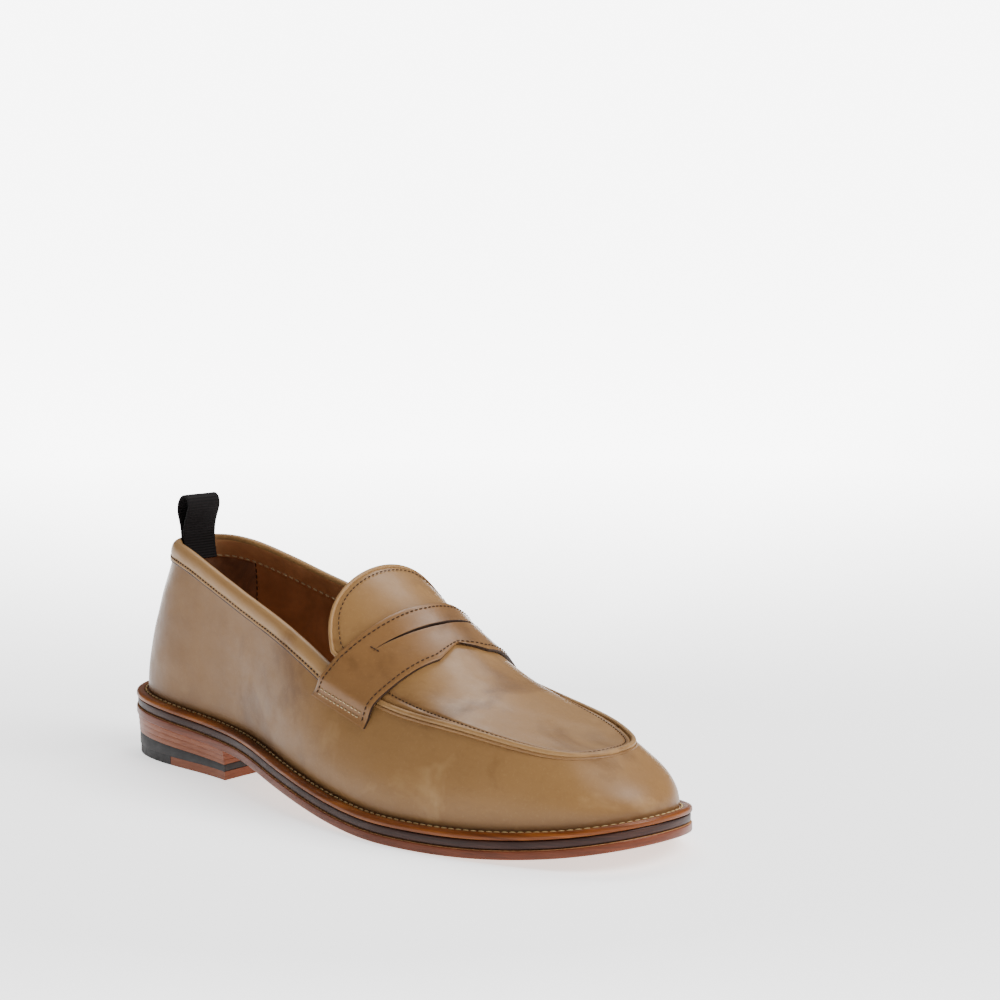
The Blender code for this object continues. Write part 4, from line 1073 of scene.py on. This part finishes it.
def tongue_rim(shrink, lift):
    """Line round the tongue's free edge, at a distance inside it, and the way out of the leather."""
    down = np.linspace(0.85, 0.0, 60)
    over = np.sin(np.pi / 2 * np.linspace(-1, 1, 160))
    s = np.concatenate([np.full(60, -1.0), over[1:-1], np.full(60, 1.0)])
    t = np.concatenate([down, np.zeros(158), down[::-1]])
    level_places = tongue_level(s, t, shrink)
    return on_instep(level_places, np.full(len(s), lift))


def make_tongue():
    tongue = leather_sheet("tongue_leather", 90, 44, tongue_surface, TONGUE)
    points = design_places(tongue)
    # painted shade: darker towards the tongue's front, where it runs under the strap
    shade_of(tongue, "burnish_and_shade", np.clip((points[:, 0] - 152.0) / 16.0, 0, 1) * 0.25)
    dress(tongue, CALF, body="tongue", stands_for=["tongue"])
    points, ways = tongue_rim(0.3, -0.1)
    dress(roll("tongue_piping", points, ways, 0.85), LIT_ROLLED_CALF, body="tongue")
    points, ways = tongue_rim(2.8, 0.05)
    sew("tongue_stitches", points, ways, TONGUE_STITCH, DARK_THREAD, body="tongue")

    def under(u, v):
        s = np.sin(np.pi * (u - 0.5))
        level_places = tongue_level(s, v, 1.4)
        return on_instep(level_places, np.full(len(u), -1.75))[0]
    lining = leather_sheet("tongue_lining_leather", 60, 24, under, LINING)
    dress(lining, LINING_TAN, body="tongue", stands_for=["tongue_lining"])


# ---- saddle strap ---------------------------------------------------------------------
STRAP_COLUMNS = 240
STRAP_ROWS = 40
SLIT_ROW = 17             # the slit lies between this grid line and the next


def strap_shares(u, v):
    """Strap shares of grid lines: closer round the slit, which opens between two of them."""
    s = 2 * u - 1
    away = np.abs(s)
    length = strap_front(away) - strap_rear(away)
    middle = SLIT[1] - SLIT[2] * np.minimum(away, SLIT[0])**2
    half = (0.02 + SLIT[3] * np.maximum(0.0, 1 - (away / SLIT[0])**2)**0.7) / length
    row = v * STRAP_ROWS
    rear = (middle - half) * row / SLIT_ROW
    front = middle + half + (1 - middle - half) * (row - SLIT_ROW - 1) / (STRAP_ROWS - SLIT_ROW - 1)
    return s, np.where(row <= SLIT_ROW + 0.5, rear, front)


def strap_lift(s, t):
    away = np.abs(s)
    length = strap_front(away) - strap_rear(away)
    from_slit = (t - SLIT[1] + SLIT[2] * np.minimum(away, SLIT[0])**2) * length
    lip = 0.35 * np.exp(-np.abs(from_slit) / 1.6) * np.maximum(0.0, 1 - (away / SLIT[0])**2)
    near_edge = np.minimum(t, 1 - t) * length
    rim = -0.28 * np.exp(-near_edge / 0.5)
    pinch = -0.08 * np.exp(-((near_edge - 2.2) / 0.7)**2)
    spot = np.column_stack([s * 55, t * length, np.zeros_like(s)])
    return STRAP + lip + rim + pinch + ripple(spot, 18.0, 71) * 0.1


def strap_surface(u, v):
    s, t = strap_shares(u, v)
    return on_strap(s, t, strap_lift(s, t))


def in_slit(u, v):
    return SLIT_ROW < v * STRAP_ROWS < SLIT_ROW + 1 and abs(2 * u - 1) < SLIT[0]


def strap_line(s, t):
    """Line on the strap's face and the way out of the leather along it."""
    return strap_frame(s, t, strap_lift(s, t))


def make_strap():
    strap = leather_sheet("strap_leather", STRAP_COLUMNS, STRAP_ROWS, strap_surface, STRAP, edge=0.22,
                          opening=in_slit)
    strap.modifiers["thickness"].material_offset_rim = 1
    dress(strap, STRAP_CALF, stands_for=["saddle_strap"])
    strap.data.materials.append(PAINTED_EDGE)
    run = np.linspace(-0.975, 0.975, 500)
    length = strap_front(np.abs(run)) - strap_rear(np.abs(run))
    for name, t in (("strap_rear_stitches", 2.2 / length), ("strap_front_stitches", 1 - 2.2 / length)):
        sew(name, *strap_line(run, t), STRAP_STITCH, DARK_THREAD)
    for side, words in ((-1, "outer"), (1, "inner")):
        for number, s in enumerate((0.966, 0.934)):
            t = np.linspace(0.09, 0.91, 80)
            line = strap_line(np.full(80, side * s), t)
            sew("strap_%s_end_stitches_%d" % (words, number + 1), *line, STRAP_STITCH, PALE_THREAD)
        tack_s = side * (SLIT[0] + 0.012)
        middle = SLIT[1] - SLIT[2] * SLIT[0]**2
        t = np.linspace(middle - 0.08, middle + 0.08, 20)
        sew("slit_%s_tack" % words, *strap_line(np.full(20, tack_s), t), TACK_STITCH, DARK_THREAD)


# ---- welt and sole --------------------------------------------------------------------
TOE_COLUMN = float(np.interp(TOE_SHARE, AROUND, np.linspace(0, 1, 720, endpoint=False)))
OUTER_EDGE = EDGE[ROUND <= TOE_SHARE]
INNER_EDGE = EDGE[ROUND >= TOE_SHARE][::-1]


def even_sides(u):
    """Place round the shoe with as many columns on the outer side as on the inner."""
    run = np.where(u <= 0.5, 2 * u * TOE_COLUMN, TOE_COLUMN + (2 * u - 1) * (1 - TOE_COLUMN))
    return spread(run)


def middle_y(x):
    outer = np.interp(x, OUTER_EDGE[:, 0], OUTER_EDGE[:, 1])
    return (outer + np.interp(x, INNER_EDGE[:, 0], INNER_EDGE[:, 1])) / 2


def edge_profile(soft):
    """Rows of a layer's edge: inset in millimetres and height as (share of the thickness, millimetres)."""
    lower = [(14.0, 0, 0), (5.0, 0, 0), (soft, 0, 0), (0.3 * soft, 0, 0.3 * soft), (0.0, 0, soft)]
    upper = [(inset, 1, -height) for inset, _, height in reversed(lower)]
    return lower + [(0.0, 0.5, 0)] + upper


def layer_rows(profile, v):
    """The profile's rows with the middle line before and after them."""
    row = np.rint(v * (len(profile) + 1)).astype(int)
    inside = np.clip(row - 1, 0, len(profile) - 1)
    table = np.array(profile)[inside]
    return (row == 0) | (row == len(profile) + 1), table


def full_length(u, inset):
    """Edge of a full-length layer, the way in from it and the middle line its faces meet on."""
    share = even_sides(u)
    run = np.where(u <= 0.5, 2 * u, 2 - 2 * u)
    spine_x = 22.0 + 252.0 * (1 - np.cos(np.pi * run)) / 2
    return edge_inset(share, inset), -outward(share), np.column_stack([spine_x, middle_y(spine_x)])


def heel_outline(u, inset):
    """Loop round the heel: along the sole's edge for three quarters, then across the hollow breast."""
    run = np.linspace(0, 1, 1500)
    near = edge_inset(run, inset)
    corner_x = HEEL_BREAST + BREAST_BOW
    outer = float(np.interp(corner_x, near[:500, 0], run[:500]))
    inner = float(np.interp(-corner_x, -near[1000:, 0], run[1000:]))
    share = inner - 1 + (outer + 1 - inner) * np.clip(u / 0.75, 0, 1)
    curved = edge_inset(share, inset)
    ends = edge_inset(np.array([outer, inner]), inset)
    across = np.clip((u - 0.75) / 0.25, 0, 1)
    y = ends[0, 1] + (ends[1, 1] - ends[0, 1]) * across
    breast = np.column_stack([HEEL_BREAST + BREAST_BOW * (2 * across - 1)**2, y])
    return np.where((u <= 0.75)[:, None], curved, breast)


HEEL_POLE = np.array([40.0, 0.0])


def heel_only(u, inset):
    """Edge of a heel layer, the way in from it and the point its faces meet in."""
    edge = heel_outline(u, inset)
    return edge, unit(HEEL_POLE - edge), np.broadcast_to(HEEL_POLE, edge.shape)


def sole_layer(name, outline, columns, inset, bottom, top, soft, finish, nodes):
    """Layer of the sole: flat faces that meet in the middle, and a soft edge."""
    profile = edge_profile(soft)

    def surface(u, v):
        at_middle, table = layer_rows(profile, v)
        edge, inwards, middle = outline(u, inset)
        level_places = np.where(at_middle[:, None], middle, edge + inwards * table[:, :1])
        low, high = bottom(level_places[:, 0]), top(level_places[:, 0])
        return np.column_stack([level_places, low + (high - low) * table[:, 1] + table[:, 2]])
    piece = solid(name, columns, len(profile) + 1, surface, sharp=60)
    return dress(piece, finish, stands_for=nodes)


WELT_PROFILE = np.array([
    (0.5, 0.3), (0.14, 0.45), (0.0, 0.8), (0.0, 1.5), (0.12, 2.0), (0.4, 2.4), (0.85, 2.7), (1.4, 2.86),
    (2.2, 2.9), (2.9, 2.88), (3.15, 2.75), (3.3, 2.45), (3.55, 2.25), (3.9, 2.2), (4.25, 2.25), (4.5, 2.45),
    (4.65, 2.75), (4.85, 2.8), (5.3, 2.3), (5.3, 0.3), (0.5, 0.3)])
STITCH_LINE = 3.9


def make_welt():
    def surface(u, v):
        share = spread(u)
        offset = along_profile(WELT_PROFILE, v)
        edge = edge_inset(share, 0.0) - outward(share) * offset[:, :1]
        return np.column_stack([edge, midsole_top(edge[:, 0]) + offset[:, 1]])
    welt = solid("welt_strip", 600, len(WELT_PROFILE) - 1, surface)
    points = design_places(welt)
    high = points[:, 2] - midsole_top(points[:, 0])
    # painted shade, stored but not read by the welt's finish: darker low on the welt, by the midsole
    shade_of(welt, "burnish_and_shade", np.clip(1.2 - high, 0, 0.5))
    dress(welt, WELT_AMBER, stands_for=["welt"])
    count = 1600
    share = np.linspace(0, 1, count)
    line = edge_inset(share, STITCH_LINE)
    points = np.column_stack([line, midsole_top(line[:, 0]) + 2.5])
    seam = stitch_row("welt_stitches", points, np.tile([0.0, 0.0, 1.0], (count, 1)), WELT_STITCH, sink=0.3)
    dress(seam, WELT_THREAD, stands_for=["welt_thread"])


LIFTS = 3
SEAT_GAP = 0.06           # between the layers of the heel
TOP_PIECE = 3.7           # top of the heel's walking face
SOLE_COLUMNS = 440
HEEL_COLUMNS = 240


def heel_band_top(x):
    return 9.8 - 3.2 * np.asarray(x, float) / HEEL_BREAST


def make_sole():
    outsole = sole_layer("outsole_leather_layer", full_length, SOLE_COLUMNS, 0.0, underside,
                         lambda x: underside(x) + OUTSOLE, 0.6, EDGE_RED, ["outsole"])
    outsole.data.materials.append(SOLE_FACE)
    for face in outsole.data.polygons:
        face.material_index = int(abs(face.normal.z) > 0.9)
    sole_layer("midsole_layer", full_length, SOLE_COLUMNS, 0.55, midsole_bottom, midsole_top, 0.5,
               MIDSOLE_DARK, ["midsole"])
    def lift_face(k):
        def height(x):
            low = heel_band_top(x) + SEAT_GAP
            return low + (underside(x) - low) * k / LIFTS
        return height

    for k in range(LIFTS):
        number = LIFTS - k
        sole_layer("heel_layer_%d" % number, heel_only, HEEL_COLUMNS, 0.5 + 0.2 * number, lift_face(k),
                   lambda x, top=lift_face(k + 1): top(x) - SEAT_GAP, 0.1, STACK,
                   ["heel_lift_%d" % number])
    sole_layer("heel_black_layer", heel_only, HEEL_COLUMNS, 1.3, lambda x: np.full_like(x, TOP_PIECE),
               heel_band_top, 0.25, HEEL_RUBBER, ["heel_rubber_lift"])


# ---- pull tab -------------------------------------------------------------------------
def tab_path():
    """Middle line of the ribbon, in the shoe's middle plane: down inside, round the loop and down again."""
    x0, _, z0 = TAB_HINGE
    rear = [(0.4, -11.0), (-0.6, -5.0), (-0.75, 0.0), (-1.7, 5.0), (-2.8, 9.0), (-2.5, 12.5), (-1.1, 15.0)]
    front = [(1.1, 16.3), (3.0, 15.6), (4.1, 13.0), (3.1, 9.0), (1.6, 5.0), (0.75, 0.0), (0.9, -5.0),
             (1.9, -11.0)]
    knots = np.array(rear + front) + (x0, z0)
    run = np.concatenate([[0.0], np.cumsum(np.linalg.norm(np.diff(knots, axis=0), axis=1))])
    path_x, path_z = (line_curve(np.column_stack([run, column])) for column in knots.T)
    return run, path_x, path_z


def make_tab():
    run, path_x, path_z = tab_path()

    def surface(u, v):
        at = u * run[-1]
        wave = 0.12 * np.sin(v * 7.0 + u * 5.0)
        x = path_x(at) + wave * np.abs(2 * u - 1)
        return np.column_stack([x, (v - 0.5) * RIBBON_WIDTH, path_z(at) + 0.25 * np.cos(np.pi * v)])
    ribbon = leather_sheet("ribbon_loop", 150, 16, surface, RIBBON * 0.8, edge=0.2)
    ribbon.modifiers["thickness"].offset = 0.0
    ribbon.data.materials.append(GROSGRAIN)
    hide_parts("pull_tab", "pull_tab_anchor")
    sewn, free = (tuple(place(TAB_HINGE + np.array([0.0, 0.0, rise]))) for rise in (-1.5, 2.5))
    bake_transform(ribbon)


# ---- carried-over nodes ---------------------------------------------------------------
def dress_nodes():
    for name, finish in (("sock_liner", SOCK_TAN), ("insole", INSOLE_TAN), ("cork_filler", CORK),
                         ("shank", SHANK_STEEL), ("heel_counter", BOARD), ("toe_puff", BOARD),
                         ("heel_top_piece", STACK), ("heel_corner_rubber", HEEL_RUBBER),
                         ("apron_lining", LINING_TAN)):
        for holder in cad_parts[name].material_slots:
            holder.material = finish


# ---- stage, light and camera ----------------------------------------------------------
AZIMUTH, ELEVATION = math.radians(45.30), math.radians(9.484)
CAMERA_SPOT = (1.06632, -0.99293, 0.36488)
LENS = 134.3
SKY_STRENGTH = 0.24
SUN_STRENGTH = 3.0
PAPER_GLOW_AND_PAINTED_SHADOW = (1.2, 5.5)   # glow of the floor by the shoe, and what is added to it far behind: the dimmer floor by the shoe is a painted shadow


def light(name, spot, target, size, power):
    lamp = bpy.data.lights.new(name, "AREA")
    lamp.shape = "RECTANGLE"
    lamp.size, lamp.size_y = size
    lamp.energy = power
    stand = bpy.data.objects.new(name, lamp)
    bpy.context.scene.collection.objects.link(stand)
    stand.location = spot
    stand.rotation_euler = (Vector(target) - Vector(spot)).to_track_quat("-Z", "Y").to_euler()


def set_stage():
    bm = bmesh.new()
    bmesh.ops.create_grid(bm, x_segments=2, y_segments=2, size=40.0)
    floor = keep_mesh("floor", bm)
    paper = finish_of("glowing_paper", 0.9)
    shade = noise(paper, coords(paper), 2.0, 2.0)
    feed(paper, "Base Color", ramp(paper, shade, [(0.3, tone(250, 250, 251)), (0.7, tone(252, 252, 253))]))
    # the floor glows, dimmer near the shoe and to the sides: painted light, with a painted soft shadow round
    # the shoe
    paper.node_tree.nodes["Principled BSDF"].inputs["Emission Color"].default_value = (1, 1, 1, 1)
    spot = node(paper, "Mapping", {"Vector": coords(paper), "Rotation": (0.0, 0.0, -AZIMUTH)}).outputs[0]
    across = node(paper, "SeparateXYZ", {"Vector": spot}).outputs[0]
    away = node(paper, "VectorMath", {0: coords(paper)}, operation="LENGTH").outputs["Value"]
    aside = times(paper, times(paper, across, 0.0, "ABSOLUTE"), away, "DIVIDE")
    wide = level(paper, aside, 0.25, 0.8, 1.0, 0.12)
    glow_and_painted_shadow = times(paper, level(paper, away, 0.22, 0.9, 0.0, PAPER_GLOW_AND_PAINTED_SHADOW[1]), wide)
    feed(paper, "Emission Strength", times(paper, glow_and_painted_shadow, PAPER_GLOW_AND_PAINTED_SHADOW[0], "ADD"))
    floor.data.materials.append(paper)
    world = bpy.data.worlds.new("studio")
    world.use_nodes = True
    world.node_tree.nodes["Background"].inputs["Color"].default_value = (1, 1, 1, 1)
    world.node_tree.nodes["Background"].inputs["Strength"].default_value = SKY_STRENGTH
    bpy.context.scene.world = world
    back = Vector((math.sin(AZIMUTH) * math.cos(ELEVATION), -math.cos(AZIMUTH) * math.cos(ELEVATION),
                   math.sin(ELEVATION)))
    right = Vector((math.cos(AZIMUTH), math.sin(AZIMUTH), 0))
    up = back.cross(right)
    level_back = Vector((back.x, back.y, 0)).normalized()
    shoe = Vector((0, 0, 0.04))
    light("softbox_above", shoe + right * 0.1 - level_back * 0.8 + Vector((0, 0, 1.2)), shoe, (1.1, 0.5), 15)
    light("softbox_right", shoe + right * 1.2 + level_back * 0.5 + Vector((0, 0, 0.8)), shoe, (0.5, 0.9), 9)
    sky = bpy.data.lights.new("broad_light", "SUN")
    sky.energy = SUN_STRENGTH
    sky.angle = math.radians(40)
    high = bpy.data.objects.new("broad_light", sky)
    bpy.context.scene.collection.objects.link(high)
    fall = -right * 0.75 - level_back * 0.3 - Vector((0, 0, 1))
    high.rotation_euler = fall.to_track_quat("-Z", "Y").to_euler()
    camera = bpy.data.cameras.new("camera")
    camera.lens = LENS
    camera.sensor_width = 36.0
    camera.clip_start = 0.05
    view = bpy.data.objects.new("camera", camera)
    bpy.context.scene.collection.objects.link(view)
    view.matrix_world = Matrix((right, up, back)).transposed().to_4x4()
    view.location = CAMERA_SPOT
    bpy.context.scene.camera = view


make_wall()
make_apron()
make_collar()
make_linings()
make_tongue()
make_strap()
make_welt()
make_sole()
make_tab()
dress_nodes()
set_stage()

bpy.context.view_layer.update()
